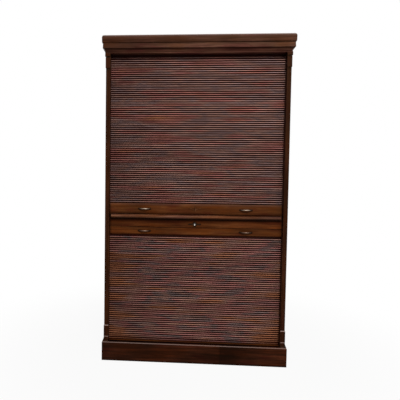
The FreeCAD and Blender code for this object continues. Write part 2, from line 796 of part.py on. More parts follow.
def make_strikes():
    """A thin plate let into each face of the shelf, with a slot for the claw."""
    slot = (f"({CLAW_FACE} - Sizes.lock_clearance)", f"({CLAW_REAR} + Sizes.lock_clearance)")
    outlines = [rectangle(strike_span(), strike_depth()), rectangle(slot_span(), slot)]
    skin = "Sizes.strike_thickness"
    upper = prism("strike_upper", "XY_Plane", outlines, f"{MIDDLE_TOP} - {skin}", MIDDLE_TOP)
    lower = prism("strike_lower", "XY_Plane", outlines, MIDDLE_UNDER, f"{MIDDLE_UNDER} + {skin}")
    piece("strike_plates", together("strike_plates", [upper, lower]))


make_middle_shelf()
make_strikes()


def make_nosing():
    """The half-round strip on the front edge of the middle shelf."""
    half = "Sizes.middle_thickness / 2"
    centre = f"({FRONT} + {half})"
    level = f"({MIDDLE_UNDER} + {half})"
    rear = f"({FRONT} + Sizes.nosing_depth)"
    outline = [
        (rear, MIDDLE_UNDER),
        (rear, MIDDLE_TOP),
        (centre, MIDDLE_TOP, half, 1),
        (FRONT, level, half, 1),
        (centre, MIDDLE_UNDER),
    ]
    end = f"({INNER} - Sizes.nosing_end_gap)"
    piece("shelf_nosing", prism("shelf_nosing", "YZ_Plane", [outline], f"-{end}", end))


make_nosing()
BOARD_SPAN = (BOARD_FRONT, FALSE_BACK_REAR)
CEILING = (CEILING_UNDER, f"({CEILING_UNDER} + Sizes.shelf_thickness)")
FLOOR = (f"({FLOOR_TOP} - Sizes.shelf_thickness)", FLOOR_TOP)
PANEL_SPAN = (FALSE_BACK_FACE, FALSE_BACK_REAR)
piece("ceiling_board", box("ceiling_board", BETWEEN, BOARD_SPAN, CEILING))
piece("floor_board", box("floor_board", BETWEEN, BOARD_SPAN, FLOOR))
piece("false_back_upper", box("false_back_upper", BETWEEN, PANEL_SPAN, (MIDDLE_TOP, CEILING_UNDER)))
piece("false_back_lower", box("false_back_lower", BETWEEN, PANEL_SPAN, (FLOOR_TOP, MIDDLE_UNDER)))


def make_shelves(level, floor, ceiling, count_alias):
    """Loose shelves at equal heights in one compartment, each on a pair of cleats."""
    count = whole(f"Sizes.{count_alias}")
    thickness = "Sizes.shelf_thickness"
    bay = f"(({ceiling} - {floor} - {count} * {thickness}) / {count + 1})"
    cleats = []
    for index in range(count):
        underside = f"({floor} + {index + 1} * {bay} + {index} * {thickness})"
        name = f"{level}_shelf_{index + 1}"
        span = (f"-{RAIL_END}", RAIL_END)
        depth = (SHELF_FRONT, FALSE_BACK_FACE)
        piece(name, box(name, span, depth, (underside, f"({underside} + {thickness})")))
        for side in (-1, 1):
            span = side_span(side, f"({INNER} - Sizes.cleat_width)", INNER)
            heights = (f"({underside} - Sizes.cleat_height)", underside)
            cleats.append(box(f"{name}_cleat_{len(cleats)}", span, depth, heights))
    piece(f"{level}_shelf_cleats", together(f"{level}_shelf_cleats", cleats))


make_shelves("upper", MIDDLE_TOP, CEILING_UNDER, "upper_shelf_count")
make_shelves("lower", FLOOR_TOP, MIDDLE_UNDER, "lower_shelf_count")


def make_back_boards():
    """Upright boards in the rebates of the sides, with a fine gap from one to the next."""
    count = whole("Sizes.back_board_count")
    edge = f"({INNER} + Sizes.rebate_width)"
    pitch = f"((2 * {edge} + Sizes.back_board_gap) / {count})"
    boards = []
    for index in range(count):
        left = f"({index} * {pitch} - {edge})"
        right = f"({left} + {pitch} - Sizes.back_board_gap)"
        heights = ("Sizes.plinth_back_height", TOP_UNDER)
        boards.append(box(f"back_board_{index}", (left, right), (BACK_BOARD_FACE, BACK), heights))
    piece("back_boards", together("back_boards", boards))


make_back_boards()

# ---------------------------------------------------------------- the curtains


def make_slats(name, count, first, way):
    """Crowned slats one pitch apart, upwards (way +1) or downwards from the first one's edge."""
    body = doc.addObject("PartDesign::Body", name)
    body.AllowCompound = True
    low = f"({first} + Sizes.slat_gap)" if way > 0 else f"({first} - Sizes.slat_pitch)"
    high = f"({low} + Sizes.slat_pitch - Sizes.slat_gap)"
    shoulder = f"({SLAT_FACE} + Sizes.slat_crown)"
    radius = cove_radius("Sizes.slat_crown", "(Sizes.slat_pitch - Sizes.slat_gap) / 2")
    outline = [
        (SLAT_BACK, low),
        (SLAT_BACK, high),
        (shoulder, high, radius, 1),
        (shoulder, low),
    ]
    slat = pad(body, f"{name}_slat", "YZ_Plane", [outline], f"-{SLAT_END}", SLAT_END)
    row_of_slats = body.newObject("PartDesign::LinearPattern", f"{name}_row")
    row_of_slats.Originals = [slat]
    row_of_slats.Direction = (origin_feature(body, "Z_Axis"), [""])
    row_of_slats.Reversed = way < 0
    row_of_slats.Mode = "Spacing"
    row_of_slats.setExpression("Offset", "Sizes.slat_pitch")
    row_of_slats.setExpression("Occurrences", count)
    row_of_slats.Refine = False
    body.Tip = row_of_slats
    piece(name, body)


def make_rail(body, low, high):
    """A lead rail: a thick board with rounded face edges and a tongue for the track at each end."""
    label = body.Name
    softening = "Sizes.rail_round"
    outline = [
        (SLAT_BACK, low),
        (SLAT_BACK, high),
        (f"{RAIL_FACE} + {softening}", high, softening, 1),
        (RAIL_FACE, f"{high} - {softening}"),
        (RAIL_FACE, f"{low} + {softening}", softening, 1),
        (f"{RAIL_FACE} + {softening}", low),
    ]
    pad(body, f"{label}_board", "YZ_Plane", [outline], f"-{RAIL_END}", RAIL_END)
    tongue = rectangle((SLAT_FACE, SLAT_BACK), (low, high))
    pad(body, f"{label}_tongue", "YZ_Plane", [tongue], f"-{SLAT_END}", SLAT_END)


def bolt_holes(body, level):
    """The bores and counterbores for the pulls' bolts."""
    centres = [f"{way} Sizes.handle_spacing / 2 {end} Sizes.handle_span / 2" for way in "-+" for end in "-+"]
    shank = "(Sizes.bolt_radius + Sizes.bolt_clearance)"
    head = "(Sizes.bolt_head_radius + Sizes.bolt_clearance)"
    seat = f"({SLAT_BACK} - Sizes.bolt_head_height)"
    tools = []
    for index, centre in enumerate(centres):
        tools.append(rod(f"{body.Name}_bore_{index}", shank, centre, (RAIL_FACE, SLAT_BACK), level))
        tools.append(rod(f"{body.Name}_seat_{index}", head, centre, (seat, SLAT_BACK), level))
    return tools


def lock_recess(body, keyhole, edge, way):
    """The mortise for a lock case in the back of a rail, open at the rail's meeting edge."""
    margin = "(Sizes.lock_width / 2 + Sizes.lock_clearance)"
    far = f"({keyhole} + {way} * (Sizes.lock_margin + Sizes.lock_clearance))"
    levels = (edge, far) if way > 0 else (far, edge)
    mortise = rectangle((f"-{margin}", margin), levels)
    pocket(body, f"{body.Name}_mortise", "XZ_Plane", [mortise], LOCK_FACE, SLAT_BACK)
    pocket(body, f"{body.Name}_keyhole", "XZ_Plane", [keyhole_outline(keyhole)], RAIL_FACE, LOCK_FACE)


def keyhole_outline(level):
    """A round hole with a slot below it, centred at a level."""
    radius = "Sizes.keyhole_radius"
    half = "Sizes.keyhole_slot / 2"
    neck = f"({level} - sqrt({radius} ^ 2 - ({half}) ^ 2))"
    foot = f"({level} - Sizes.keyhole_drop)"
    return [
        (f"-{half}", foot),
        (half, foot),
        (half, neck, radius, 1),
        (radius, level, radius, 1),
        ("0", f"{level} + {radius}", radius, 1),
        (f"-{radius}", level, radius, 1),
        (f"-{half}", neck),
    ]


def make_lead_rail():
    """The rail at the foot of the upper curtain."""
    body = doc.addObject("PartDesign::Body", "upper_rail_body")
    make_rail(body, RAIL_BOTTOM, RAIL_TOP)
    lock_recess(body, UPPER_KEYHOLE, RAIL_BOTTOM, 1)
    level = f"(({RAIL_BOTTOM} + {RAIL_TOP}) / 2)"
    piece("upper_lead_rail", cut("upper_lead_rail", body, bolt_holes(body, level)))
    return level


def make_lock_board():
    """The upper of the two boards that lead the lower curtain."""
    body = doc.addObject("PartDesign::Body", "lower_lock_board")
    make_rail(body, LOCK_BOARD_BOTTOM, LOCK_BOARD_TOP)
    lock_recess(body, LOWER_KEYHOLE, LOCK_BOARD_TOP, -1)
    piece("lower_lock_board", body)


def make_handle_board():
    """The lower of the two boards that lead the lower curtain."""
    body = doc.addObject("PartDesign::Body", "handle_board_body")
    make_rail(body, HANDLE_BOARD_BOTTOM, HANDLE_BOARD_TOP)
    level = f"(({HANDLE_BOARD_BOTTOM} + {HANDLE_BOARD_TOP}) / 2)"
    piece("lower_handle_board", cut("lower_handle_board", body, bolt_holes(body, level)))
    return level


UPPER_PULL = make_lead_rail()
make_lock_board()
LOWER_PULL = make_handle_board()
make_slats("upper_slats", UPPER_SLATS, RAIL_TOP, 1)
make_slats("lower_slats", LOWER_SLATS, HANDLE_BOARD_BOTTOM, -1)

CANVAS_SPAN = (f"-{CANVAS_END}", CANVAS_END)
CANVAS_DEPTH = (SLAT_BACK, CANVAS_BACK)
UPPER_CANVAS = (f"({RAIL_TOP} - Sizes.canvas_lap)", f"({RAIL_TOP} + {UPPER_SLATS} * Sizes.slat_pitch)")
LOWER_CANVAS = (
    f"({HANDLE_BOARD_BOTTOM} - {LOWER_SLATS} * Sizes.slat_pitch)",
    f"({HANDLE_BOARD_TOP} + Sizes.canvas_lap)",
)
piece("upper_canvas", box("upper_canvas", CANVAS_SPAN, CANVAS_DEPTH, UPPER_CANVAS))
piece("lower_canvas", box("lower_canvas", CANVAS_SPAN, CANVAS_DEPTH, LOWER_CANVAS))

# ---------------------------------------------------------------- the pulls


def bow(name, centre, level):
    """The bow of a pull: round sections along an arc, thickest in the middle."""
    foot = "Sizes.handle_foot_height / 2"
    half = "(Sizes.handle_span / 2)"
    rise = f"(Sizes.handle_rise - {foot})"
    radius = f"(({half} ^ 2 + {rise} ^ 2) / (2 * {rise}))"
    hub = f"({RAIL_FACE} - Sizes.handle_rise + {radius})"
    spread = f"asin({half} / {radius})"
    sections = []
    for index in range(BOW_SECTIONS):
        share = 2 * index / (BOW_SECTIONS - 1) - 1
        angle = f"({share} * {spread})"
        swell = f"Sizes.handle_swell * cos({BOW_END_ANGLE * share})"
        ring = doc.addObject("Part::Circle", f"{name}_section_{index}")
        ring.setExpression("Radius", f"Sizes.handle_end_radius + {swell}")
        place = f"{centre} + {radius} * sin({angle}); {hub} - {radius} * cos({angle}); {level}"
        pose = f"create(<<placement>>; create(<<vector>>; {place}); create(<<rotation>>; {angle}; 90; 0))"
        ring.setExpression("Placement", pose)
        sections.append(ring)
    loft = doc.addObject("Part::Loft", f"{name}_bow")
    loft.Sections = sections
    loft.Solid = True
    loft.Ruled = True
    return loft


def make_pull(name, centre, level):
    """A cast pull: a swelling bow between two round feet on the rail's face."""
    parts = [bow(name, centre, level)]
    for end in "-+":
        at = f"{centre} {end} Sizes.handle_span / 2"
        span = (f"({RAIL_FACE} - Sizes.handle_foot_height)", RAIL_FACE)
        parts.append(rod(f"{name}_foot{len(parts)}", "Sizes.handle_foot_radius", at, span, level))
    piece(name, joined(name, parts))


def make_bolts(name, level):
    """The four bolts of a pair of pulls, their heads sunk in the back of the rail."""
    seat = f"({SLAT_BACK} - Sizes.bolt_head_height)"
    bolts = []
    for way in "-+":
        for end in "-+":
            at = f"{way} Sizes.handle_spacing / 2 {end} Sizes.handle_span / 2"
            index = len(bolts)
            shank = rod(f"{name}_shank_{index}", "Sizes.bolt_radius", at, (RAIL_FACE, SLAT_BACK), level)
            head = rod(f"{name}_head_{index}", "Sizes.bolt_head_radius", at, (seat, SLAT_BACK), level)
            bolts.append(joined(f"{name}_{index}", [shank, head]))
    piece(name, together(name, bolts))


for word, way in (("left", "-"), ("right", "+")):
    middle = f"{way} Sizes.handle_spacing / 2"
    make_pull(f"upper_pull_{word}", middle, UPPER_PULL)
    make_pull(f"lower_pull_{word}", middle, LOWER_PULL)
make_bolts("upper_pull_bolts", UPPER_PULL)
make_bolts("lower_pull_bolts", LOWER_PULL)

# ---------------------------------------------------------------- the locks


def plate_outline(level):
    """A round-topped plate that draws in to a waist and swells again into a wing on each side."""
    tip = "Sizes.plate_length / 2"
    wing = f"({tip} - Sizes.plate_wing_inset)"
    wing_half = "(Sizes.plate_wing_height / 2)"
    waist = "Sizes.plate_waist"
    waist_half = "(Sizes.plate_waist_height / 2)"
    crown = f"(Sizes.plate_height / 2 - {waist_half})"
    dome = f"(({waist} ^ 2 + {crown} ^ 2) / (2 * {crown}))"
    end = f"(({tip} - {wing}) ^ 2 + {wing_half} ^ 2) / (2 * {wing_half})"
    neck = f"({wing} - {waist})"
    upper = [
        (tip, level, end, 1),
        (wing, f"{level} + {wing_half}", neck, -1),
        (waist, f"{level} + {waist_half}", dome, 1),
        (f"-{waist}", f"{level} + {waist_half}", neck, -1),
        (f"-{wing}", f"{level} + {wing_half}", end, 1),
    ]
    lower = [
        (f"-({tip})", level, end, 1),
        (f"-{wing}", f"{level} - {wing_half}", neck, -1),
        (f"-{waist}", f"{level} - {waist_half}", dome, 1),
        (waist, f"{level} - {waist_half}", neck, -1),
        (wing, f"{level} - {wing_half}", end, 1),
    ]
    return upper + lower


def make_escutcheon(name, level):
    """A thin winged plate round a keyhole."""
    span = (f"({RAIL_FACE} - Sizes.plate_thickness)", RAIL_FACE)
    piece(name, prism(name, "XZ_Plane", [plate_outline(level), keyhole_outline(level)], *span))


def make_lock_case(name, keyhole, edge, pivot, way):
    """A shallow metal box, open towards the shelf, with the pin that the claw turns on."""
    half = "(Sizes.lock_width / 2)"
    wall = "Sizes.lock_wall"
    far = f"({keyhole} + {way} * Sizes.lock_margin)"
    levels = (edge, far) if way > 0 else (far, edge)
    inner_far = f"({far} - {way} * {wall})"
    hollow_levels = (edge, inner_far) if way > 0 else (inner_far, edge)
    shell = box(f"{name}_shell", (f"-{half}", half), (LOCK_FACE, SLAT_BACK), levels)
    hollow_x = (f"-({half} - {wall})", f"({half} - {wall})")
    inside = (f"({LOCK_FACE} + {wall})", f"({SLAT_BACK} - {wall})")
    hollow = box(f"{name}_hollow", hollow_x, inside, hollow_levels)
    hole = prism(f"{name}_hole", "XZ_Plane", [keyhole_outline(keyhole)], LOCK_FACE, inside[0])
    case = cut(f"{name}_case", shell, [hollow, hole])
    pin = rod(f"{name}_pin", "Sizes.claw_pin_radius", PIVOT_X, (LOCK_FACE, SLAT_BACK), pivot)
    piece(name, joined(name, [case, pin]))


def make_claw(name, pivot, way):
    """A hub with a curved claw that lies in the case and turns out into the strike."""

    def at(radius, angle):
        across = f"({PIVOT_X} + ({radius}) * cos({angle}))"
        return across, f"({pivot} + {way} * ({radius}) * sin({angle}))"

    hub = "Sizes.claw_hub_radius"
    inner = "Sizes.claw_inner_radius"
    outer = "Sizes.claw_outer_radius"
    outline = [
        at(inner, 0),
        (*at(outer, 0), outer, way),
        at(outer, CLAW_ARC),
        *((*at(hub, angle), hub, way) for angle in CLAW_HUB_ANGLES),
        at(hub, CLAW_WEB_ANGLE),
        (*at(inner, CLAW_WEB_ANGLE), inner, -way),
    ]
    blank = prism(f"{name}_blank", "XZ_Plane", [outline], CLAW_FACE, CLAW_REAR)
    bore = "(Sizes.claw_pin_radius + Sizes.running_clearance)"
    eye = rod(f"{name}_eye", bore, PIVOT_X, (CLAW_FACE, CLAW_REAR), pivot)
    piece(name, cut(name, blank, [eye]))


make_escutcheon("upper_escutcheon", UPPER_KEYHOLE)
make_escutcheon("lower_escutcheon", LOWER_KEYHOLE)
make_lock_case("upper_lock_case", UPPER_KEYHOLE, RAIL_BOTTOM, UPPER_PIVOT, 1)
make_lock_case("lower_lock_case", LOWER_KEYHOLE, LOCK_BOARD_TOP, LOWER_PIVOT, -1)
make_claw("upper_lock_claw", UPPER_PIVOT, 1)
make_claw("lower_lock_claw", LOWER_PIVOT, -1)

COVER_PIVOT = f"({LOWER_KEYHOLE} + Sizes.cover_pivot_height)"
PLATE_FACE = f"({RAIL_FACE} - Sizes.plate_thickness)"
COVER_REAR = f"({PLATE_FACE} - Sizes.cover_gap)"
COVER_FACE = f"({COVER_REAR} - Sizes.cover_thickness)"
RIVET_SEAT = f"({COVER_FACE} - Sizes.cover_gap)"


def make_keyhole_cover():
    """A drop-shaped cover hanging from a rivet over the lower keyhole."""
    top = "Sizes.cover_top_radius"
    low = "Sizes.cover_bottom_radius"
    drop = f"({COVER_PIVOT} - Sizes.cover_length)"
    outline = [
        (f"-{low}", drop, low, 1),
        ("0", f"{drop} - {low}", low, 1),
        (low, drop),
        (top, COVER_PIVOT, top, 1),
        ("0", f"{COVER_PIVOT} + {top}", top, 1),
        (f"-{top}", COVER_PIVOT),
    ]
    blank = prism("keyhole_cover_blank", "XZ_Plane", [outline], COVER_FACE, COVER_REAR)
    bore = "(Sizes.rivet_radius + Sizes.running_clearance)"
    eye = rod("keyhole_cover_eye", bore, "0", (COVER_FACE, COVER_REAR), COVER_PIVOT)
    piece("keyhole_cover", cut("keyhole_cover", blank, [eye]))
    face = f"({RIVET_SEAT} - Sizes.rivet_head_height)"
    shank = rod("rivet_shank", "Sizes.rivet_radius", "0", (RIVET_SEAT, PLATE_FACE), COVER_PIVOT)
    head = rod("rivet_head", "Sizes.rivet_head_radius", "0", (face, RIVET_SEAT), COVER_PIVOT)
    piece("keyhole_cover_rivet", joined("keyhole_cover_rivet", [shank, head]))


make_keyhole_cover()

# ---------------------------------------------------------------- check and write

doc.recompute()
for feature in doc.Objects:
    if {"Invalid", "Error"} & set(feature.State):
        raise RuntimeError(f"{feature.Label} didn't compute: {feature.State}")
for name, solid in pieces.items():
    if solid.Shape.isNull() or not solid.Shape.isValid():
        raise RuntimeError(f"{name} has no valid shape")

os.makedirs("parts", exist_ok=True)
for name, solid in pieces.items():
    solid.Shape.exportStep(f"parts/{name}.step")
    bounds = solid.Shape.BoundBox
    print(f"{name}: {len(solid.Shape.Solids)} solids, {solid.Shape.Volume / 1000:.1f} cm3,",
          f"z {bounds.ZMin:.1f} to {bounds.ZMax:.1f}")
print(f"upper travel {number(UPPER_TRAVEL):.2f}, lower travel {number(LOWER_TRAVEL):.2f}")
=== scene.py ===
# %% [markdown]
# # A roll front cabinet
#
# This lesson dresses a CAD model of a tall cabinet with two slatted curtains. The CAD nodes bring every
# board to its place. Blender adds what a drawing lacks: the grain of stained hardwood, slats that are
# each a little different, cast brass, and a plain studio to see it all in.
# Lengths are in metres. X runs to the right, Y from the front to the back, and Z up.

# %% Load the frame
import json
import math

import bpy
import numpy as np
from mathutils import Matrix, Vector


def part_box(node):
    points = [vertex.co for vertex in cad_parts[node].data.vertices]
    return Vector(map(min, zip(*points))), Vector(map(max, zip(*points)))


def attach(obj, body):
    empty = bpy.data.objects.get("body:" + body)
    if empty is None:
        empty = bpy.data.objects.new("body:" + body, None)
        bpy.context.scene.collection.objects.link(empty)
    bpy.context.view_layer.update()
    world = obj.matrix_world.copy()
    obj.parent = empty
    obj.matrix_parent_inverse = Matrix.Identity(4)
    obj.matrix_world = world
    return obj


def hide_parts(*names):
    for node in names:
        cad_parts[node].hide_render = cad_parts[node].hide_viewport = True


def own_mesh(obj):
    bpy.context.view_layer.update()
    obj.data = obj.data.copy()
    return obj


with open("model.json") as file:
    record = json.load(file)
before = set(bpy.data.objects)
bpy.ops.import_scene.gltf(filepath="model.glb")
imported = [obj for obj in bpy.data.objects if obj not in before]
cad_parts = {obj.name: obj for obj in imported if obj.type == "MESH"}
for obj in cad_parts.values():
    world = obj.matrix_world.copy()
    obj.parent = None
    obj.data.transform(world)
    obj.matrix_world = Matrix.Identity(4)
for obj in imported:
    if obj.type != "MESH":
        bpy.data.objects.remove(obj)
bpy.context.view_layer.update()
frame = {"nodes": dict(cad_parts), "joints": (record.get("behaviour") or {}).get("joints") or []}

MM = 0.001
nodes = frame["nodes"]

# %% [markdown]
# ## Colours and nodes
#
# Colours are written as sRGB hex, as a paint chart has them, and shaders want linear light, so one
# function turns one into the other. A second function adds any shader node with its settings and
# links, so that a material reads as a list of what it is made of. It returns one of the node's outputs,
# ready to be linked. Map Range has many sockets, so RANGE names them in order, to be zipped with values.


# %% Colour and node helpers
def linear(code):
    """sRGB hex to linear: c / 12.92 below 0.04045, else ((c + 0.055) / 1.055) ^ 2.4, and alpha 1."""
    share = np.array([int(code[i : i + 2], 16) for i in (1, 3, 5)]) / 255
    low, high = share / 12.92, ((share + 0.055) / 1.055) ** 2.4
    return (*np.where(share <= 0.04045, low, high).tolist(), 1.0)


def add(tree, kind, links=(), stops=(), out=0, **settings):
    """Adds a shader node and returns one of its outputs.

    Links are (socket, value or output) pairs, and stops are (place, hex) on a ramp, from low to high.
    """
    made = tree.nodes.new("ShaderNode" + kind)
    for key, value in settings.items():
        setattr(made, key, value)
    for socket, value in links:
        if isinstance(value, bpy.types.NodeSocket):
            tree.links.new(value, made.inputs[socket])
        else:
            made.inputs[socket].default_value = value
    for index, (place, code) in enumerate(stops):
        spot = made.color_ramp.elements
        mark = spot[index] if index < 2 else spot.new(place)
        mark.position, mark.color = place, linear(code)
    return made.outputs[out] if made.outputs else None


def new_material(name):
    """A material with its tree emptied, but for the output."""
    made = bpy.data.materials.new(name)
    made.use_nodes = True
    tree = made.node_tree
    tree.nodes.clear()
    return made, tree


RANGE = ("Value", "From Min", "From Max", "To Min", "To Max")
print("mid grey #808080 is", round(linear("#808080")[0], 3), "in linear light")

# %% [markdown]
# ## Stained and polished hardwood
#
# The carcase is dark stained hardwood under old shellac. Its figure is the growth rings, cut lengthwise and
# drawn out along the board. Fine fibres and pores lie over it, dark dashes about a millimetre wide.
# An image would fix the grain to one board. Here noise is squeezed across the grain and stretched
# along it, and each board takes it from another place, so no two boards are alike. A wide, faint cloud
# turns the stain cooler here and warmer there.

# %% Grain
FIGURE_STRETCH, FIBRE_STRETCH, PORE_STRETCH, CLOUD_STRETCH = 16.0, 45.0, 22.0, 3.5
FIBRE, PORE, CLOUD, BLOTCH = 2.2, 1.1, 60, 312.5


def grain_along(axis, shift, tree, place):
    """Gives a function that adds noise of a width in mm, drawn out along the axis by a scale of 1 / stretch.

    The shift moves all the noise of a board to a place of its own.
    """
    offset = (shift, 0.37 * shift, 0.71 * shift)

    def grain(width, stretch=1.0, detail=3.0, distortion=0.0):
        scale = [1 / stretch if letter == axis else 1.0 for letter in "XYZ"]
        moved = add(tree, "Mapping", [("Vector", place), ("Location", offset), ("Scale", scale)])
        noise = [("Vector", moved), ("Scale", 1 / (width * MM)), ("Detail", detail), ("Distortion", distortion)]
        return add(tree, "TexNoise", noise)

    return grain


print("fibres are", FIBRE, "mm wide and about", round(FIBRE * FIBRE_STRETCH), "mm long")

# %% [markdown]
# Hands have rubbed the stain off the arrises. A Bevel node finds them, because its normal turns away from the
# face's there. Some boards are also darker or paler in one part, mostly as painted light and shade: painted
# shadows under the capital and in the hollows of a moulding, painted shade along the bottom of a board, and a
# side painted lighter as if lit from the right. A ramp along an axis says so in millimetres.


# %% Worn edges and ramps
def worn_edges(tree, radius, blotch, wear):
    """The bevelled normal, and a share that grows to wear as its dot product with the face's falls to 0.86."""
    eased = add(tree, "Bevel", [("Radius", radius)], samples=6)
    facing = add(tree, "NewGeometry", out="Normal")
    edge = add(tree, "VectorMath", [(0, eased), (1, facing)], out="Value", operation="DOT_PRODUCT")
    rubbed = add(tree, "MapRange", zip(RANGE, (edge, 0.995, 0.86, 0.0, wear)))
    uneven = add(tree, "MapRange", zip(RANGE, (blotch, 0.3, 0.55, 0.3)))
    return eased, add(tree, "Math", [(0, rubbed), (1, uneven)], operation="MULTIPLY")


def along(tree, place, axis, pairs):
    """A ramp of (millimetres, hex) pairs along an axis: place on it = (position - first) / (last - first)."""
    at = add(tree, "SeparateXYZ", [("Vector", place)], out=axis)
    low, high = pairs[0][0], pairs[-1][0]
    share = add(tree, "MapRange", zip(RANGE, (at, low * MM, high * MM)))
    return add(tree, "ValToRGB", [("Fac", share)], [((spot - low) / (high - low), code) for spot, code in pairs])


print("an edge is worn where its normals differ by over", round(math.degrees(math.acos(0.995))), "degrees")

# %% [markdown]
# Ambient Occlusion darkens the inner corners within 16 mm. This is painted shade, together with the polish and grime
# that gather there. Shellac has an IOR near 1.5. Old polish is dull and amber, so the specular level is well
# under the usual half, and its tint is a light brown. Ramps come in as shades, which darken the stain and
# mostly paint shade, and as lines, which are painted highlights on worn, dusty arrises.

# %% Stained wood
ARRIS, CORNER_REACH = 2.2 * MM, 16 * MM
AMBER, HIGHLIGHT_AND_WEAR = "#DCA678", "#C0A49A"
COOL, WARM = "#E8C8D8", "#FFEACC"
AGED = ("#ECDCC8", "#FFF6E8")
FULL, DIM, DARK, NONE = "#FFFFFF", "#C8C0BC", "#70605A", "#000000"


def stained_wood(
    name, tones, axis, shift, figure=15, worn="#7A5236", wear=0.6, rough=0.44, level=0.1, patch=0.3,
    cloud=(COOL, WARM), shades=(), lines=(),
):
    """Stained hardwood: tones are its darkest, middle and lightest colours, and figure is in millimetres.

    Each of the shades is an axis and the pairs of a ramp along it, most of them painted shade. Lines are one
    such pair, a painted highlight on worn, dusty wood where it is white.
    """
    made, tree = new_material(name)
    place = add(tree, "TexCoord", out="Object")
    grain = grain_along(axis, shift, tree, place)
    rings = grain(figure, FIGURE_STRETCH, distortion=0.5)
    fibres = grain(FIBRE, FIBRE_STRETCH)
    pores = grain(PORE, PORE_STRETCH, detail=1.0)
    cloudy = grain(CLOUD, CLOUD_STRETCH, detail=2.0)
    blotch = grain(BLOTCH)

    mixed = add(tree, "Mix", [("Factor", 0.42), ("A", rings), ("B", fibres)], data_type="FLOAT")
    stain = add(tree, "ValToRGB", [("Fac", mixed)], zip((0.34, 0.5, 0.66), tones))
    dim = add(tree, "MapRange", zip(RANGE, (blotch, 0.3, 0.7, 1.0 - patch, 1.0 + patch)))
    pits = add(tree, "MapRange", zip(RANGE, (pores, 0.6, 0.7, 1.0, 0.55)))
    # painted shade in the inner corners, together with the grime that gathers there
    corners = add(tree, "AmbientOcclusion", [("Distance", CORNER_REACH)], out="AO", samples=6)
    shade_and_dirt = add(tree, "MapRange", zip(RANGE, (corners, 0.45, 0.95, 0.3, 1.0)))
    for share in (dim, pits, shade_and_dirt):
        stain = add(tree, "VectorMath", [(0, stain), ("Scale", share)], operation="SCALE")
    tint = add(tree, "ValToRGB", [("Fac", cloudy)], ((0.36, cloud[0]), (0.5, FULL), (0.64, cloud[1])))
    for extra in (tint, *(along(tree, place, *shade) for shade in shades)):
        stain = add(tree, "VectorMath", [(0, stain), (1, extra)], operation="MULTIPLY")

    eased, rubbed = worn_edges(tree, ARRIS, blotch, wear)
    # painted highlights on worn, dusty wood where a line is white
    layers = [(rubbed, worn)] + ([(along(tree, place, *lines), HIGHLIGHT_AND_WEAR)] if lines else [])
    colour = stain
    for share, code in layers:
        colour = [("Factor", share), ("A", colour), ("B", linear(code))]
        colour = add(tree, "Mix", colour, out=2, data_type="RGBA")

    relief = add(tree, "Math", [(0, fibres), (1, 0.4), (2, pits)], operation="MULTIPLY_ADD")
    bump = [("Strength", 0.35), ("Distance", 0.25 * MM), ("Height", relief), ("Normal", eased)]
    gloss = add(tree, "MapRange", zip(RANGE, (fibres, 0.3, 0.7, rough - 0.06, rough + 0.1)))
    shader = [("Base Color", colour), ("Roughness", gloss), ("Normal", add(tree, "Bump", bump)), ("IOR", 1.5)]
    shader += [("Specular IOR Level", level), ("Specular Tint", linear(AMBER))]
    add(tree, "OutputMaterial", [("Surface", add(tree, "BsdfPrincipled", shader))])
    return made


print("arrises are rubbed within", round(ARRIS / MM, 1), "mm, and dirt lies within", round(CORNER_REACH / MM), "mm")

# %% [markdown]
# A stain has three tones, from the darkest grain to the lightest. The ramps are in millimetres from the
# cabinet's origin. The capital's neck has a painted shadow from 1868 to 1876, for one, and the upper edge of
# the lock board has the nosing's painted shadow over 880.

# %% Tones and shades
RAIL = ("#3F1F0E", "#562F16", "#704424")
FRAME = ("#1B0A04", "#291208", "#3C1E10")
CORNICE = ("#371F19", "#54372C", "#745041")
SIDE = ("#26110A", "#3A1C10", "#523020")
PLINTH = ("#120502", "#2B130A", "#4A2415")
NOSING = ("#523022", "#6E4634", "#8C6856")
PINE = ("#8A6844", "#A4825A", "#BC9C74")

# painted shadows: the capital's on the pilaster below it, and the one in the capital's neck
SHADOW_UNDER_CAPITAL = ((1788, FULL), (1796, DARK), (1810, DARK))
CAPITAL_NECK_SHADOW = ((1804, FULL), (1865, FULL), (1868, DARK), (1876, DARK), (1879, FULL), (1892, FULL))
# painted shade in the hollow over the foot
FOOT_HOLLOW_SHADE = ((118, FULL), (123, FULL), (125, DARK), (130, DIM), (140, FULL), (220, FULL))
# painted highlights on the worn arrises of the base blocks and the foot
FOOT_HIGHLIGHTS_AND_WEAR = (
    (118, "#505050"), (121, "#505050"), (122, NONE), (145, NONE), (147, "#C8C8C8"), (150.5, "#C8C8C8"), (151.5, NONE),
    (216.5, NONE), (217.5, "#E0E0E0"), (220, "#E0E0E0"),
)
# painted shadows under the fascia and the band and over the lip, and painted shade on the fascia
CORNICE_PAINTED_SHADOWS = (
    (1892, FULL), (1897, FULL), (1899, DARK), (1902, DIM), (1906, "#E8E0DC"), (1912, "#E8E0DC"), (1915, DIM),
    (1918, DARK), (1921, FULL), (1947, FULL), (1949, DARK), (1952, DIM), (1956, "#D2C8C2"), (1984, "#D6CCC6"),
    (2000, FULL),
)
# a painted highlight along the cornice's top round, pale as dust
CORNICE_TOP_HIGHLIGHT = ((1982, NONE), (1990, "#585858"), (1995, "#B0B0B0"), (1998.5, "#808080"), (2000, "#303030"))
PLINTH_SEAM = ((-206, FULL), (-203.5, DARK), (-199, DARK))
PLINTH_STAIN = (
    (-560, FULL), (150, FULL), (163, "#E4E0DE"), (167, "#8C807C"), (171, "#B8B0AE"), (240, "#C4BCBA"), (330, FULL),
    (560, FULL),
)
# a painted highlight on the plinth's worn top bevel
PLINTH_BEVEL_HIGHLIGHT = ((112.4, NONE), (113.6, "#A0A0A0"), (115.8, "#A0A0A0"), (117, NONE))
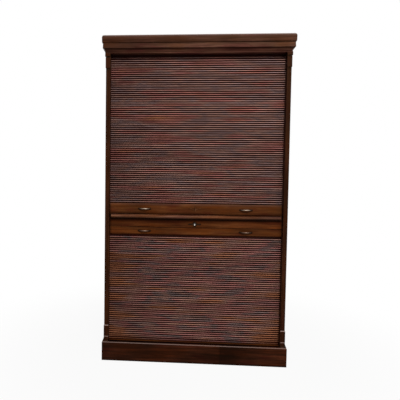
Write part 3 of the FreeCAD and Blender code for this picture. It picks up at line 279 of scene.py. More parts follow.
# painted shade, darker towards the rail's lower edge over the nosing
RAIL_LOWER_SHADE = ((915.5, "#A09088"), (921, "#D0C6C2"), (932, "#E8E4E2"), (940, FULL), (983, FULL))
RAIL_LINE = ((968, NONE), (975, "#303030"), (982, "#404040"), (983, NONE))
# the nosing's painted shadow on the top of the lock board, fading towards its bottom
NOSING_SHADOW_ON_LOCK = (
    (836.5, DIM), (839, FULL), (860, "#ECE4E2"), (872, "#C8B4AC"), (880, "#90705C"), (886, "#644028"),
    (890.5, "#583018"),
)
HANDLE_EDGES = ((788, DARK), (793, DIM), (798, FULL), (826, "#E0DAD6"), (833, DIM), (836, DIM))
# painted shade on the lower half of the nosing, leaving a lit strip along its top
NOSING_LOWER_SHADE = ((891, DARK), (898, "#A09894"), (904, FULL), (915, FULL))
# painted light: lighter towards the right, as if lit from the right
LIT_FROM_RIGHT = ((-560, "#C4BEBC"), (-200, "#D0CCCA"), (250, "#F4F4F4"), (560, FULL))
# darker at both ends, and on the left this is painted shade, as if lit from the right
DARKER_AT_BOTH_ENDS = ((-560, "#D4C8C4"), (-150, "#E4DEDC"), (120, FULL), (330, "#ECE4E4"), (560, "#ECE4E4"))
FADED_RIGHT = ((-560, FULL), (0, FULL), (250, "#E0DCDA"), (560, "#E0DCDA"))
WORN_LEFT = ((-560, FULL), (-250, FULL), (0, "#E6E2E0"), (150, "#E6E2E0"), (330, "#ACA4A8"), (560, "#A8A0A4"))

print("stain of the rails, the frame and the cornice:", RAIL[1], FRAME[1], CORNICE[1])

# %% [markdown]
# Each finish has its tones, the axis its grain runs along, the shift that takes its noise from another
# place, what else sets it apart, and the CAD nodes that it goes on. What hands polish, the rails and the
# nosing, is smoother than the carcase. The inside is softwood, oiled and gone amber, but pale because
# nothing has stained it.

# %% Wood finishes
STILE_SHADOW = {"shades": (("Z", SHADOW_UNDER_CAPITAL),)}
CAPITAL_WEAR_AND_SHADOW = {"wear": 0.4, "shades": (("Z", CAPITAL_NECK_SHADOW),)}
BASE_SHADE_AND_HIGHLIGHTS = {"shades": (("Z", FOOT_HOLLOW_SHADE),), "lines": ("Z", FOOT_HIGHLIGHTS_AND_WEAR)}
CORNICE_PAINTED_LIGHT = {"shades": (("Z", CORNICE_PAINTED_SHADOWS), ("X", LIT_FROM_RIGHT)), "lines": ("Z", CORNICE_TOP_HIGHLIGHT)}
PLINTH_MARKS_AND_HIGHLIGHT = {"patch": 0.6, "shades": (("Y", PLINTH_SEAM), ("X", PLINTH_STAIN)), "lines": ("Z", PLINTH_BEVEL_HIGHLIGHT)}
RAIL_SHADE_AND_LINE = {"shades": (("Z", RAIL_LOWER_SHADE),), "lines": ("Z", RAIL_LINE)}
LOCK_PAINTED_SHADE = {"shades": (("Z", NOSING_SHADOW_ON_LOCK), ("X", DARKER_AT_BOTH_ENDS))}
HANDLE_AGE = {"shades": (("Z", HANDLE_EDGES), ("X", FADED_RIGHT))}
SIDE_LOOK = {"figure": 24, "level": 0.06}
RAIL_LOOK = {"figure": 18, "rough": 0.4}
NOSING_LOOK = {"rough": 0.36, "level": 0.2, "patch": 0.25, "shades": (("Z", NOSING_LOWER_SHADE), ("X", WORN_LEFT))}
PINE_LOOK = {"figure": 20, "level": 0.3, "worn": "#C8AC84", "cloud": AGED}
FINISHES = {
    "stained_hardwood_stile": (FRAME, "Z", 0.0, STILE_SHADOW, "pilaster_left pilaster_right"),
    "stained_hardwood_side": (SIDE, "Z", 2.3, SIDE_LOOK, "side_left side_right"),
    "stained_hardwood_capital": (FRAME, "Z", 5.1, CAPITAL_WEAR_AND_SHADOW, "capitals"),
    "stained_hardwood_base": (FRAME, "Z", 5.9, BASE_SHADE_AND_HIGHLIGHTS, "base_blocks pilaster_foot_left pilaster_foot_right"),
    "stained_hardwood_shelf": (FRAME, "X", 16.3, {"figure": 20}, "middle_shelf"),
    "stained_hardwood_return": (CORNICE, "Y", 1.9, CORNICE_PAINTED_LIGHT, "cornice_left cornice_right"),
    "stained_hardwood_cornice": (
        CORNICE, "X", 4.4, {"figure": 14, "wear": 0.4, **CORNICE_PAINTED_LIGHT}, "cornice_front frieze_rail tambour_stops",
    ),
    "stained_hardwood_top": (CORNICE, "X", 7.7, {"figure": 26}, "top_board"),
    "stained_hardwood_plinth": (PLINTH, "X", 3.1, {"figure": 24, **PLINTH_MARKS_AND_HIGHLIGHT}, "plinth_front"),
    "polished_hardwood_ledge": (RAIL, "X", 2.2, RAIL_LOOK, "front_ledge"),
    "stained_hardwood_plinth_side": (
        SIDE, "Y", 6.2, SIDE_LOOK, "plinth_left plinth_right base_moulding_left base_moulding_right",
    ),
    "polished_hardwood_rail": (RAIL, "X", 0.6, {**RAIL_LOOK, **RAIL_SHADE_AND_LINE}, "upper_lead_rail"),
    "polished_hardwood_lock_board": (RAIL, "X", 8.3, {**RAIL_LOOK, **LOCK_PAINTED_SHADE}, "lower_lock_board"),
    "polished_hardwood_handle_board": (RAIL, "X", 11.9, {**RAIL_LOOK, **HANDLE_AGE}, "lower_handle_board"),
    "rubbed_hardwood_nosing": (NOSING, "X", 9.4, NOSING_LOOK, "shelf_nosing"),
    "oiled_softwood_shelf": (
        PINE, "X", 13.0, PINE_LOOK,
        "ceiling_board floor_board upper_shelf_1 upper_shelf_2 upper_shelf_3 lower_shelf_1 lower_shelf_2 "
        "bottom_board plinth_back",
    ),
    "oiled_softwood_upright": (
        PINE, "Z", 15.0, PINE_LOOK,
        "false_back_upper false_back_lower back_boards upper_shelf_cleats lower_shelf_cleats corner_blocks",
    ),
}


def dress(node, material):
    """Gives a CAD node one material."""
    nodes[node].data.materials.clear()
    nodes[node].data.materials.append(material)


woods = {}
for name, (tones, axis, shift, look, boards) in FINISHES.items():
    woods[name] = stained_wood(name, tones, axis, shift, **look)
    for node in boards.split():
        dress(node, woods[name])
print("wood finishes:", len(woods), "on", sum(len(row[-1].split()) for row in FINISHES.values()), "nodes")

# %% [markdown]
# ## Metals
#
# The pulls are cast brass, with a painted highlight along the upper front of the bow and brown elsewhere. The
# lower pair is duller. The keyhole plates are the same brass, the upper one under the rail's stain and the lower
# one gone dark. The drop over the lower keyhole is nickelled, with a painted highlight down the middle of its
# lower part and dull round it. The locks and bolts are steel, and the nails are iron. A metal's colour is its
# reflection, so it is the base colour of a fully metallic shader. Tarnish is a noise with patches of 8 mm,
# roughened by a grain of 1 mm. Where a piece carries a float of painted highlight, it wins over the tarnish.

# %% Metal
PATCH, PIT = 8 * MM, 1 * MM


def old_metal(name, bright, dull, rough, tarnish):
    """A metal with tarnish: a noise, less a painted highlight, takes it from bright to dull and rougher."""
    made, tree = new_material(name)
    place = add(tree, "TexCoord", out="Object")
    painted_glint = add(tree, "Attribute", out="Fac", attribute_name="painted_glint")
    patches = add(tree, "TexNoise", [("Vector", place), ("Scale", 1 / PATCH), ("Detail", 4.0)])
    pits = add(tree, "TexNoise", [("Vector", place), ("Scale", 1 / PIT), ("Detail", 2.0)])
    spread = add(tree, "MapRange", zip(RANGE, (patches, 0.7 - tarnish, 1.0 - tarnish)))
    spread = add(tree, "Math", [(0, spread), (1, painted_glint)], operation="SUBTRACT", use_clamp=True)
    colour = [("Factor", spread), ("A", linear(bright)), ("B", linear(dull))]
    colour = add(tree, "Mix", colour, out=2, data_type="RGBA")
    gloss = add(tree, "MapRange", [("Value", spread), ("To Min", rough), ("To Max", rough + 0.25)])
    bump = add(tree, "Bump", [("Strength", 0.25), ("Distance", 0.05 * MM), ("Height", pits)])
    shader = [("Base Color", colour), ("Metallic", 1.0), ("Roughness", gloss), ("Normal", bump)]
    add(tree, "OutputMaterial", [("Surface", add(tree, "BsdfPrincipled", shader))])
    return made


METALS = {
    "rubbed_cast_brass": ("#C4B09C", "#2A180E", 0.3, 0.9),
    "brown_cast_brass": ("#907666", "#24150C", 0.34, 0.9),
    "aged_brass": ("#4E3622", "#1E130C", 0.4, 0.5),
    "brown_stained_brass": ("#6E4830", "#40220F", 0.45, 0.5),
    "bright_nickel": ("#E4DED4", "#3C3A40", 0.2, 0.9),
    "lock_steel": ("#66625C", "#34302A", 0.42, 0.45),
    "nail_iron": ("#5C4A3E", "#33261E", 0.5, 0.5),
}
metals = {name: old_metal(name, *looks) for name, looks in METALS.items()}
for node in (
    "upper_pull_bolts", "lower_pull_bolts", "upper_lock_case", "lower_lock_case", "upper_lock_claw", "lower_lock_claw",
    "strike_plates",
):
    dress(node, metals["lock_steel"])
print("metals:", *metals)

# %% [markdown]
# ## Surfaces from numbers
#
# Every new piece is a surface worked out with numpy. A shell is an array of points and blocks of faces
# that number them, so a hundred slats are one array, and no loop goes from point to point. The sign
# of a closed shell's volume tells whether its faces look outwards, so it can turn itself round.


# %% Faces of a shell
def grid_faces(rows, columns, wrap=False, close=False):
    """Quads between a grid's points, numbered row by row. Wrap closes each row, and close joins last to first."""
    across = np.arange(columns if wrap else columns - 1)
    row, column = np.meshgrid(np.arange(rows if close else rows - 1), across, indexing="ij")
    after, above = (column + 1) % columns, (row + 1) % rows
    corners = (row * columns + column, row * columns + after, above * columns + after, above * columns + column)
    return np.stack(corners, axis=-1).reshape(-1, 4)


def outwards(points, blocks):
    """Turns a closed shell's faces outwards: the sum of a . (b x c) over its triangles is six volumes."""
    volume = 0.0
    for block in blocks:
        a = points[block[:, 0]]
        for i in range(1, block.shape[1] - 1):
            volume += np.einsum("ij,ij->", a, np.cross(points[block[:, i]], points[block[:, i + 1]]))
    return blocks if volume > 0 else [block[:, ::-1] for block in blocks]


print("a grid of 3 by 4 points has", len(grid_faces(3, 4)), "faces")

# %% [markdown]
# A piece may have several shells, such as a pull's bow and its two feet. They go into one mesh, which is
# smooth but for its sharp edges, and rides on a body.

# %% A piece from shells
SHARP = 35


def build(name, shells, material, body, uv=None, marks=None, sharp=SHARP):
    """One piece from (points, blocks) shells, smooth but for edges over the sharp angle, on a body.

    Marks are floats stored on the points under a name, for the material to read.
    """
    starts = np.cumsum([0] + [len(points) for points, _ in shells])
    points = np.concatenate([points for points, _ in shells])
    blocks = [block + start for start, (_, own) in zip(starts, shells) for block in own]
    loops = np.concatenate([block.ravel() for block in blocks]).astype(np.int32)
    sizes = np.concatenate([np.full(len(block), block.shape[1]) for block in blocks])
    mesh = bpy.data.meshes.new(name)
    mesh.vertices.add(len(points))
    mesh.vertices.foreach_set("co", points.astype(np.float32).ravel())
    mesh.loops.add(len(loops))
    mesh.loops.foreach_set("vertex_index", loops)
    mesh.polygons.add(len(sizes))
    mesh.polygons.foreach_set("loop_start", (np.cumsum(sizes) - sizes).astype(np.int32))
    mesh.polygons.foreach_set("use_smooth", np.ones(len(sizes), bool))
    mesh.update(calc_edges=True)
    mesh.validate()
    mesh.set_sharp_from_angle(angle=math.radians(sharp))
    if uv is not None:
        mesh.uv_layers.new(name="UVMap").data.foreach_set("uv", uv[loops].astype(np.float32).ravel())
    for mark, values in (marks or {}).items():
        mesh.attributes.new(mark, "FLOAT", "POINT").data.foreach_set("value", values.astype(np.float32))
    mesh.materials.append(material)
    piece = bpy.data.objects.new(name, mesh)
    bpy.context.scene.collection.objects.link(piece)
    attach(piece, body)
    print(f"{name}: {len(points)} points, {int((sizes - 2).sum())} triangles")
    return piece


print("edges over", SHARP, "degrees stay sharp, unless a piece asks for another angle")

# %% [markdown]
# ## Slat wood
#
# The slats were stained redder than the frame, and each was cut from another board. Along the upper part of
# each crown, a pale painted highlight stands for the light from above on the polish, and the hollows between them
# are nearly black. The painted highlight is thinner up high and on the left, out of the light. Two floats are
# stored on the points: tone is a random number for each slat, and crest runs from 0 at a slat's lower edge to 1
# at its upper edge, so the painted highlight follows the wood in every pose. The grain reads a UV map that holds
# the place on the curtain in metres. Long smears of red, orange and violet brown, about 50 mm high, lie over
# several slats, and turn to orange near the ends and the floor.

# %% Slat material
SLAT_ROUGH, SLAT_LEVEL, SLAT_SHEEN = 0.36, 0.08, "#E8A898"
SLAT_STAIN = ((0.36, "#100504"), (0.5, "#210C08"), (0.66, "#34120C"))
SLAT_HIGHLIGHT = ((0.34, "#9A7E72"), (0.5, "#B29688"), (0.68, "#C6AA9C"))
CREST_HIGHLIGHT = ((0.5, NONE), (0.64, FULL), (0.8, FULL), (0.94, "#181818"))


def slat_wood(name, tints, warmer):
    """Reddish hardwood in narrow strips: fine fibres along U, a painted highlight on each slat's crest, and long
    tinted smears.
    """
    made, tree = new_material(name)
    place = add(tree, "UVMap", uv_map="UVMap")
    across, height = (add(tree, "SeparateXYZ", [("Vector", place)], out=part) for part in "XY")
    tone, crest = (add(tree, "Attribute", out="Fac", attribute_name=mark) for mark in ("tone", "crest"))
    apart = add(tree, "CombineXYZ", [("X", tone), ("Z", tone)])

    def grain(stretch, width, detail, each=7.0):
        mapped = add(tree, "Mapping", [("Vector", place), ("Scale", (1 / stretch, 1.0, 1.0))])
        moved = add(tree, "VectorMath", [(0, apart), (1, (each, 0, each)), (2, mapped)], operation="MULTIPLY_ADD")
        return add(tree, "TexNoise", [("Vector", moved), ("Scale", 1 / (width * MM)), ("Detail", detail)])

    fibres = grain(50, 0.8, 2.0)
    streaks = grain(30, 5.0, 2.0)
    smears = grain(7, 48.0, 2.0, each=0.004)
    aside = add(tree, "Math", [(0, across)], operation="ABSOLUTE")
    ends = add(tree, "MapRange", zip(RANGE, (aside, 0.3, 0.54, 0.0, warmer)))
    low = add(tree, "MapRange", zip(RANGE, (height, 0.3, 0.8, 1.0, 0.2)))
    ends = add(tree, "Math", [(0, ends), (1, low)], operation="MULTIPLY")
    smears = add(tree, "Math", [(0, smears), (1, ends)], operation="ADD")

    mixed = add(tree, "Mix", [("Factor", 0.5), ("A", fibres), ("B", streaks)], data_type="FLOAT")
    stain = add(tree, "ValToRGB", [("Fac", mixed)], SLAT_STAIN)
    pale = add(tree, "ValToRGB", [("Fac", streaks)], SLAT_HIGHLIGHT)
    fine = add(tree, "MapRange", zip(RANGE, (fibres, 0.3, 0.7, 0.72, 1.24)))
    pale = add(tree, "VectorMath", [(0, pale), ("Scale", fine)], operation="SCALE")
    # a painted highlight along each crown, fainter on the left and up high, where less light falls
    line = add(tree, "ValToRGB", [("Fac", crest)], CREST_HIGHLIGHT)
    left = add(tree, "MapRange", zip(RANGE, (across, -0.5, -0.15, 0.72)))
    high = add(tree, "MapRange", zip(RANGE, (height, 0.95, 1.5, 0.8)))
    for out_of_light in (left, high):
        line = add(tree, "Math", [(0, line), (1, out_of_light)], operation="MULTIPLY")
    colour = add(tree, "Mix", [("Factor", line), ("A", stain), ("B", pale)], out=2, data_type="RGBA")
    tint = add(tree, "ValToRGB", [("Fac", smears)], tints)
    colour = [("Factor", 1.0), ("A", colour), ("B", tint)]
    colour = add(tree, "Mix", colour, out=2, data_type="RGBA", blend_type="MULTIPLY")
    shade = add(tree, "MapRange", [("Value", tone), ("To Min", 0.85), ("To Max", 1.2)])
    colour = add(tree, "VectorMath", [(0, colour), ("Scale", shade)], operation="SCALE")

    bump = add(tree, "Bump", [("Strength", 0.3), ("Distance", 0.2 * MM), ("Height", fibres)])
    gloss = add(tree, "MapRange", zip(RANGE, (streaks, 0.3, 0.7, SLAT_ROUGH - 0.04, SLAT_ROUGH + 0.1)))
    shader = [("Base Color", colour), ("Roughness", gloss), ("Normal", bump), ("IOR", 1.5)]
    shader += [("Specular IOR Level", SLAT_LEVEL), ("Specular Tint", linear(SLAT_SHEEN))]
    add(tree, "OutputMaterial", [("Surface", add(tree, "BsdfPrincipled", shader))])
    return made


print("a crest is palest from", *(place for place, code in CREST_HIGHLIGHT if code == FULL), "of a slat's height")

# %% Slat finishes
DUSK, VIOLET, RED, BROWN, ORANGE = "#B0B6C4", "#CECADA", "#F2BEC4", "#EED6D2", "#FAC49E"
UPPER_TINTS = ((0.3, VIOLET), (0.4, BROWN), (0.46, VIOLET), (0.52, BROWN), (0.6, RED), (0.76, ORANGE))
LOWER_TINTS = ((0.28, DUSK), (0.36, BROWN), (0.42, DUSK), (0.48, RED), (0.58, BROWN), (0.68, ORANGE))
upper_slat_wood = slat_wood("polished_hardwood_upper_slats", UPPER_TINTS, 0.06)
lower_slat_wood = slat_wood("polished_hardwood_lower_slats", LOWER_TINTS, 0.2)
print("slat finishes:", upper_slat_wood.name, lower_slat_wood.name)

# %% [markdown]
# ## The slats
#
# A tambour slat is a strip 12.4 mm high with a low crown in front and a flat back that the canvas is
# glued to. Its section is one ring of points, and the ring is carried along X. Old slats have warped
# by a tenth of a millimetre or two and don't lie quite level, so the light picks out some more than
# others. Each slat gets its own small lean, bow and shift from a seeded generator. Painted shade dims the
# crest highlight of a few slats by a share under 1. These are the top ones of the upper curtain, under the
# frieze, and the lowest two and the top one of the lower curtain.

# %% Section of a slat
PITCH = 13 * MM
GAP = 0.6 * MM
CROWN = 3.4 * MM
STATIONS = 9


def slat_section(height, depth, crown, steps=9):
    """A ring (y, z): the flat back, then an arc over the front. Radius = (crown^2 + half^2) / (2 crown)."""
    half = height / 2
    radius = (crown**2 + half**2) / (2 * crown)
    turn = np.linspace(1, -1, steps) * math.asin(half / radius)
    arc_over = np.stack([radius * (1 - np.cos(turn)) - depth, radius * np.sin(turn)], axis=-1)
    return np.concatenate([[[0, -half], [0, half]], arc_over])


def slat_faces(count, steps):
    """Quads round each slat from station to station, and a cap at each end, numbered slat by slat."""
    each = STATIONS * steps
    jumps = np.arange(count)[:, None, None] * each
    walls = grid_faces(STATIONS, steps, wrap=True) + jumps
    rim = np.arange(steps)[None, None]
    caps = np.concatenate([rim[..., ::-1] + jumps, rim + each - steps + jumps])
    return [walls.reshape(-1, 4), caps.reshape(-1, steps)]


print("a slat has", sum(len(block) for block in slat_faces(1, 11)), "faces")


# %% Unevenness of the slats
def unevenness(count, seed):
    """What sets the slats apart: a lean about X, a bow that grows as 1 - u^2, a shift outwards and a tone."""
    random = np.random.default_rng(seed)
    return {
        "lean": np.radians(random.normal(0, 0.6, count)),
        "bow": random.normal(0, 0.12 * MM, (2, count)),
        "out": random.normal(0, 0.08 * MM, count),
        "tone": random.uniform(0, 1, count),
    }


def slat_points(ring, left, right, back, middles, change):
    """Carries the ring along X for each slat, turned by its lean, bowed, and set out at its height.

    The flat back stays on the canvas: no point passes it, and only points before it are set out.
    """
    u = np.linspace(-1, 1, STATIONS)
    bow = change["bow"][:, :, None] * (1 - u**2)
    lean = change["lean"][:, None, None]
    y = ring[:, 0] * np.cos(lean) - ring[:, 1] * np.sin(lean)
    z = ring[:, 0] * np.sin(lean) + ring[:, 1] * np.cos(lean)
    proud = (bow[0] + change["out"][:, None])[:, :, None] * (ring[:, 0] < 0)
    points = np.empty((len(middles), STATIONS, len(ring), 3))
    points[..., 0] = ((left + right) / 2 + u * (right - left) / 2)[:, None]
    points[..., 1] = back + np.minimum(y, 0) + proud
    points[..., 2] = middles[:, None, None] + z + bow[1][:, :, None]
    return points.reshape(-1, 3)


print("three slats might lean by", np.degrees(unevenness(3, 0)["lean"]).round(2), "degrees")

# %% [markdown]
# The real curtain runs on round a bend and down behind the shelves. Here each curtain piece is given a mesh of
# its own, and the level of its hidden end is read from its joint.


# %% A mesh of its own for a curtain piece
def fold_away(piece):
    """Gives the piece a mesh of its own."""
    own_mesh(piece)


curtains = [joint for joint in frame["joints"] if joint.get("deforming_nodes")]
hidden = {joint["name"]: joint["deforming_nodes"][0]["fixed_end_z_m"] for joint in curtains}
UPPER, LOWER = ((joint, hidden[joint]) for joint in ("upper_curtain_slide", "lower_curtain_slide"))
print("the curtains fold to", UPPER[1], "and", LOWER[1], "m")


# %% The slats of both curtains
def make_slats(name, node, material, joint, anchor, seed, shaded):
    """Builds the slats of one curtain in the place of the CAD node.

    Slats given by number from below keep that share of their painted highlight, as painted shade.
    """
    low, high = (np.array(corner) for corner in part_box(node))
    height = PITCH - GAP
    count = round((high[2] - low[2] + GAP) / PITCH)
    ring = slat_section(height, high[1] - low[1], CROWN)
    change = unevenness(count, seed)
    middles = low[2] + height / 2 + np.arange(count) * PITCH
    points = slat_points(ring, low[0], high[0], high[1], middles, change)
    each = len(points) // count
    # painted shade: the listed slats keep only a share of their painted highlight
    highlight_share = np.ones(count)
    highlight_share[list(shaded)] = list(shaded.values())
    crest = np.tile(ring[:, 1] / height + 0.5, count * STATIONS) * np.repeat(highlight_share, each)
    marks = {"tone": np.repeat(change["tone"], each), "crest": crest}
    shell = (points, outwards(points, slat_faces(count, len(ring))))
    piece = build(name, [shell], material, "cabinet", points[:, [0, 2]], marks, 50)
    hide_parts(node)
    fold_away(piece)


make_slats("upper_slat_strips", "upper_slats", upper_slat_wood, *UPPER, 11, shaded={-4: 0.8, -3: 0.6})
make_slats("lower_slat_strips", "lower_slats", lower_slat_wood, *LOWER, 23, shaded={0: 0.66, 1: 0.66, -1: 0.5})

# %% [markdown]
# ## Canvas
#
# Behind the slats is a sheet of stout canvas, glued to every slat. It is a plain weave of about ten
# threads to the centimetre, stained brown by glue and age. Between two slats it sags into the gap a
# little, so the sheet is a grid whose Y follows a cosine with the slats' pitch.

# %% Canvas cloth
THREAD = 3 * MM
STAIN_SIZE = 1 / 9
CANVAS_BROWNS = ((0.25, "#6E5A3E"), (0.5, "#947C58"), (0.8, "#B09A74"))


def canvas_cloth(name):
    """Plain weave: two wave patterns at right angles, 1 mm threads, drawn 3 mm wide so that they show."""
    made, tree = new_material(name)
    place = add(tree, "UVMap", uv_map="UVMap")
    wave = [("Vector", place), ("Scale", 1 / THREAD / math.pi), ("Distortion", 1.0), ("Detail", 1.0)]
    warp, weft = (add(tree, "TexWave", wave, out="Fac", bands_direction=axis) for axis in "XY")
    weave = add(tree, "Math", [(0, warp), (1, weft)], operation="MAXIMUM")
    stains = add(tree, "TexNoise", [("Vector", place), ("Scale", 1 / STAIN_SIZE), ("Detail", 4.0)])
    mixed = add(tree, "Mix", [("Factor", 0.55), ("A", weave), ("B", stains)], data_type="FLOAT")
    colour = add(tree, "ValToRGB", [("Fac", mixed)], CANVAS_BROWNS)
    bump = add(tree, "Bump", [("Strength", 0.5), ("Distance", 0.3 * MM), ("Height", weave)])
    shader = [("Base Color", colour), ("Roughness", 0.9), ("Normal", bump), ("Sheen Weight", 0.2)]
    add(tree, "OutputMaterial", [("Surface", add(tree, "BsdfPrincipled", shader))])
    return made


glued_canvas = canvas_cloth("glued_canvas")
print("the weave repeats every", round(THREAD / MM), "mm, and stains are", round(STAIN_SIZE, 2), "m wide")

# %% Canvas sheets
SAG, MARGIN = 0.1 * MM, 0.05 * MM


def make_canvas(name, node, slats, joint, anchor):
    """A sheet with a front and a back face 0.7 mm apart. Both lie back by sag (1 - cos(2 pi z / pitch))."""
    low, high = (np.array(corner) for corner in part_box(node))
    columns, rows = 21, 4 * round((high[2] - low[2]) / PITCH) + 1
    x = np.linspace(low[0], high[0], columns)
    z = np.linspace(low[2], high[2], rows)
    wave = SAG * (1 - np.cos((z - low[2]) / PITCH * 2 * math.pi))
    sheets = []
    for y in (low[1] + MARGIN, high[1] - MARGIN - 2 * SAG):
        sheet = np.empty((rows, columns, 3))
        sheet[..., 0], sheet[..., 1], sheet[..., 2] = x, (y + wave)[:, None], z[:, None]
        sheets.append(sheet.reshape(-1, 3))
    points = np.concatenate(sheets)
    each = rows * columns
    grid = grid_faces(rows, columns)
    number = np.arange(each).reshape(rows, columns)
    border = np.concatenate([number[0, :-1], number[:-1, -1], number[-1, :0:-1], number[:0:-1, 0]])
    after = np.roll(border, -1)
    rim = np.stack([border, border + each, after + each, after], axis=-1)
    blocks = outwards(points, [grid[:, ::-1], grid + each, rim[:, ::-1]])
    piece = build(name, [(points, blocks)], glued_canvas, "cabinet", points[:, [0, 2]], None, 40)
    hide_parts(node)
    fold_away(piece)


make_canvas("upper_canvas_sheet", "upper_canvas", "upper_slat_strips", *UPPER)
make_canvas("lower_canvas_sheet", "lower_canvas", "lower_slat_strips", *LOWER)

# %% [markdown]
# ## Brass fittings
#
# A pull is a bow that swells in the middle, with a small collar at each end, on two turned feet. The
# bow is a bent tube: rings about a circular path, so a point lies at the path's radius plus its own
# offset. The feet, rivets and nails are profiles turned about Y. Both kinds are rows of rings, and one
# function gives rows of rings their skin and closes the two ends.


# %% Rings and turned shapes
def skin(rings):
    """Closes rows of rings (row, step, xyz) into a shell, with a fan from each end ring to its mean point."""
    rows, steps, _ = rings.shape
    points = np.concatenate([rings.reshape(-1, 3), rings[[0, -1]].mean(axis=1)])
    first = np.arange(steps)
    after = np.roll(first, -1)
    last, start = (rows - 1) * steps, np.full(steps, rows * steps)
    fans = [np.stack([start, after, first], axis=-1), np.stack([start + 1, first + last, after + last], axis=-1)]
    return points, outwards(points, [grid_faces(rows, steps, wrap=True), np.concatenate(fans)])


def turned(profile, centre, way=-1, steps=20):
    """A profile of (radius, height) in mm turned about Y: x = r cos a, z = r sin a, y = way times height."""
    radius, height = np.array(profile).T[:, :, None] * MM
    angle = np.linspace(0, 2 * math.pi, steps, endpoint=False)
    rings = np.stack([radius * np.cos(angle), way * height + 0 * angle, radius * np.sin(angle)], axis=-1)
    return skin(rings + np.array(centre))


print("a ring of 20 steps has points every", 360 // 20, "degrees")

# %% The bow of a pull
BOW_ROOT = 1.5 * MM
BOW_END, BOW_SWELL, COLLAR = 2.2 * MM, 2.2 * MM, 0.8 * MM


def bow(left, right, face, level, reach):
    """A bent tube of half height end + swell cos(90 u) plus a collar, and 0.8 as deep. Its ends lie at the root.

    A painted highlight lies on its upper front: exp(-(u / 0.75)^4) ((1 + cos(turn - 70)) / 2)^4.
    """
    half, rise = (right - left) / 2, reach - BOW_ROOT
    radius = (half**2 + rise**2) / (2 * rise)
    u = np.linspace(-1, 1, 61)[:, None]
    thick = BOW_END + BOW_SWELL * np.cos(u * math.pi / 2) + COLLAR * np.exp(-(((np.abs(u) - 0.8) / 0.035) ** 2))
    angle, turn = u * math.asin(half / radius), np.linspace(0, 2 * math.pi, 20, endpoint=False)
    away = radius + 0.8 * thick * np.cos(turn)
    x = (left + right) / 2 + away * np.sin(angle)
    y = face - reach + radius - away * np.cos(angle)
    # a painted highlight along the bow's upper front
    painted_glint = np.exp(-((u / 0.75) ** 4)) * ((1 + np.cos(turn - math.radians(70))) / 2) ** 4
    return skin(np.stack([x, y, level + thick * np.sin(turn)], axis=-1)), np.append(painted_glint.ravel(), [0.0, 0.0])


print("a bow is", round(2 * (BOW_END + BOW_SWELL) / MM, 1), "mm high in the middle")

# %% Pulls
FOOT = ((6.3, 0), (6.5, 0.5), (6.3, 1.0), (5.2, 1.4), (4.9, 2.0), (5.2, 2.7), (4.6, 3.4), (3.2, 3.9))
FOOT_RADIUS = 6.5 * MM


def make_pull(node, metal, body):
    """A cast pull in the place of its CAD node: the bow and its two feet."""
    low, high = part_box(node)
    left, right = low[0] + FOOT_RADIUS, high[0] - FOOT_RADIUS
    face, level = high[1], (low[2] + high[2]) / 2
    shell, painted_glint = bow(left, right, face, level, face - low[1] - BOW_END - BOW_SWELL)
    feet = [turned(FOOT, (x, face, level)) for x in (left, right)]
    marks = {"painted_glint": np.concatenate([painted_glint, np.zeros(sum(len(points) for points, _ in feet))])}
    piece = build(f"{node}_casting", [shell, *feet], metal, body, marks=marks)
    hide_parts(node)


for word in ("left", "right"):
    make_pull(f"upper_pull_{word}", metals["rubbed_cast_brass"], "upper_curtain")
    make_pull(f"lower_pull_{word}", metals["brown_cast_brass"], "lower_curtain")

# %% [markdown]
# ## Keyhole plates
#
# A winged plate is cast with a raised rim, a collar round the keyhole and a row of beads on each wing.
# Its outline and the keyhole's are both distances from one middle, at the same angles, so the plate
# is a grid: round the middle one way, and the other way from the keyhole out to the rim and back
# underneath. The drop that hangs over the lower keyhole is made by the same function.


# %% Arcs and plates
def arc(start, end, radius, turn, steps=24):
    """Points on the shorter arc between two points. Its centre lies left (+1) or right (-1) of the way there."""
    start, end = np.array(start, float), np.array(end, float)
    chord = end - start
    length = np.hypot(*chord)
    left = np.array([-chord[1], chord[0]]) / length
    centre = (start + end) / 2 + turn * left * math.sqrt(max(radius**2 - length**2 / 4, 0.0))
    first = math.atan2(*(start - centre)[::-1])
    sweep = 2 * math.asin(min(length / 2 / radius, 1.0)) * turn
    angle = first + np.linspace(0, sweep, steps, endpoint=False)
    return centre + radius * np.stack([np.cos(angle), np.sin(angle)], axis=-1)


def around(outline, angle):
    """How far an outline lies from the middle at each angle, read between its points."""
    bearing = np.arctan2(outline[:, 1], outline[:, 0])
    return np.interp(angle, bearing, np.hypot(*outline.T), period=2 * math.pi)


def plate(centre, inner, outer, rows):
    """Rows are (share, step, height): r = inner + share (outer - inner) + step, and y = -height, in mm."""
    angle = np.linspace(0, 2 * math.pi, 144, endpoint=False)
    near, far = around(inner, angle), around(outer, angle)
    rings = []
    for share, step, height in rows:
        r = near + share * (far - near) + step
        rings.append(np.stack([r * np.cos(angle), np.full_like(r, -height), r * np.sin(angle)], axis=-1))
    points = np.concatenate(rings) * MM + np.array(centre)
    return points, outwards(points, [grid_faces(len(rows), len(angle), wrap=True, close=True)])


print("an arc of a quarter turn has", len(arc((1, 0), (0, 1), 1, 1)), "points")


# %% Outlines of the keyhole and the wings
def keyhole_outline(radius=3.2, slot=3.0, drop=9.0):
    """A round hole with a slot below it, as points from its middle in mm."""
    half = slot / 2
    neck = -math.sqrt(radius**2 - half**2)
    ring = arc((half, neck), (0, radius), radius, 1)
    corners = np.array([(-half, neck), (-half, -drop), (0, -drop), (half, -drop)])
    return np.concatenate([ring, ring[::-1] * (-1, 1), corners])


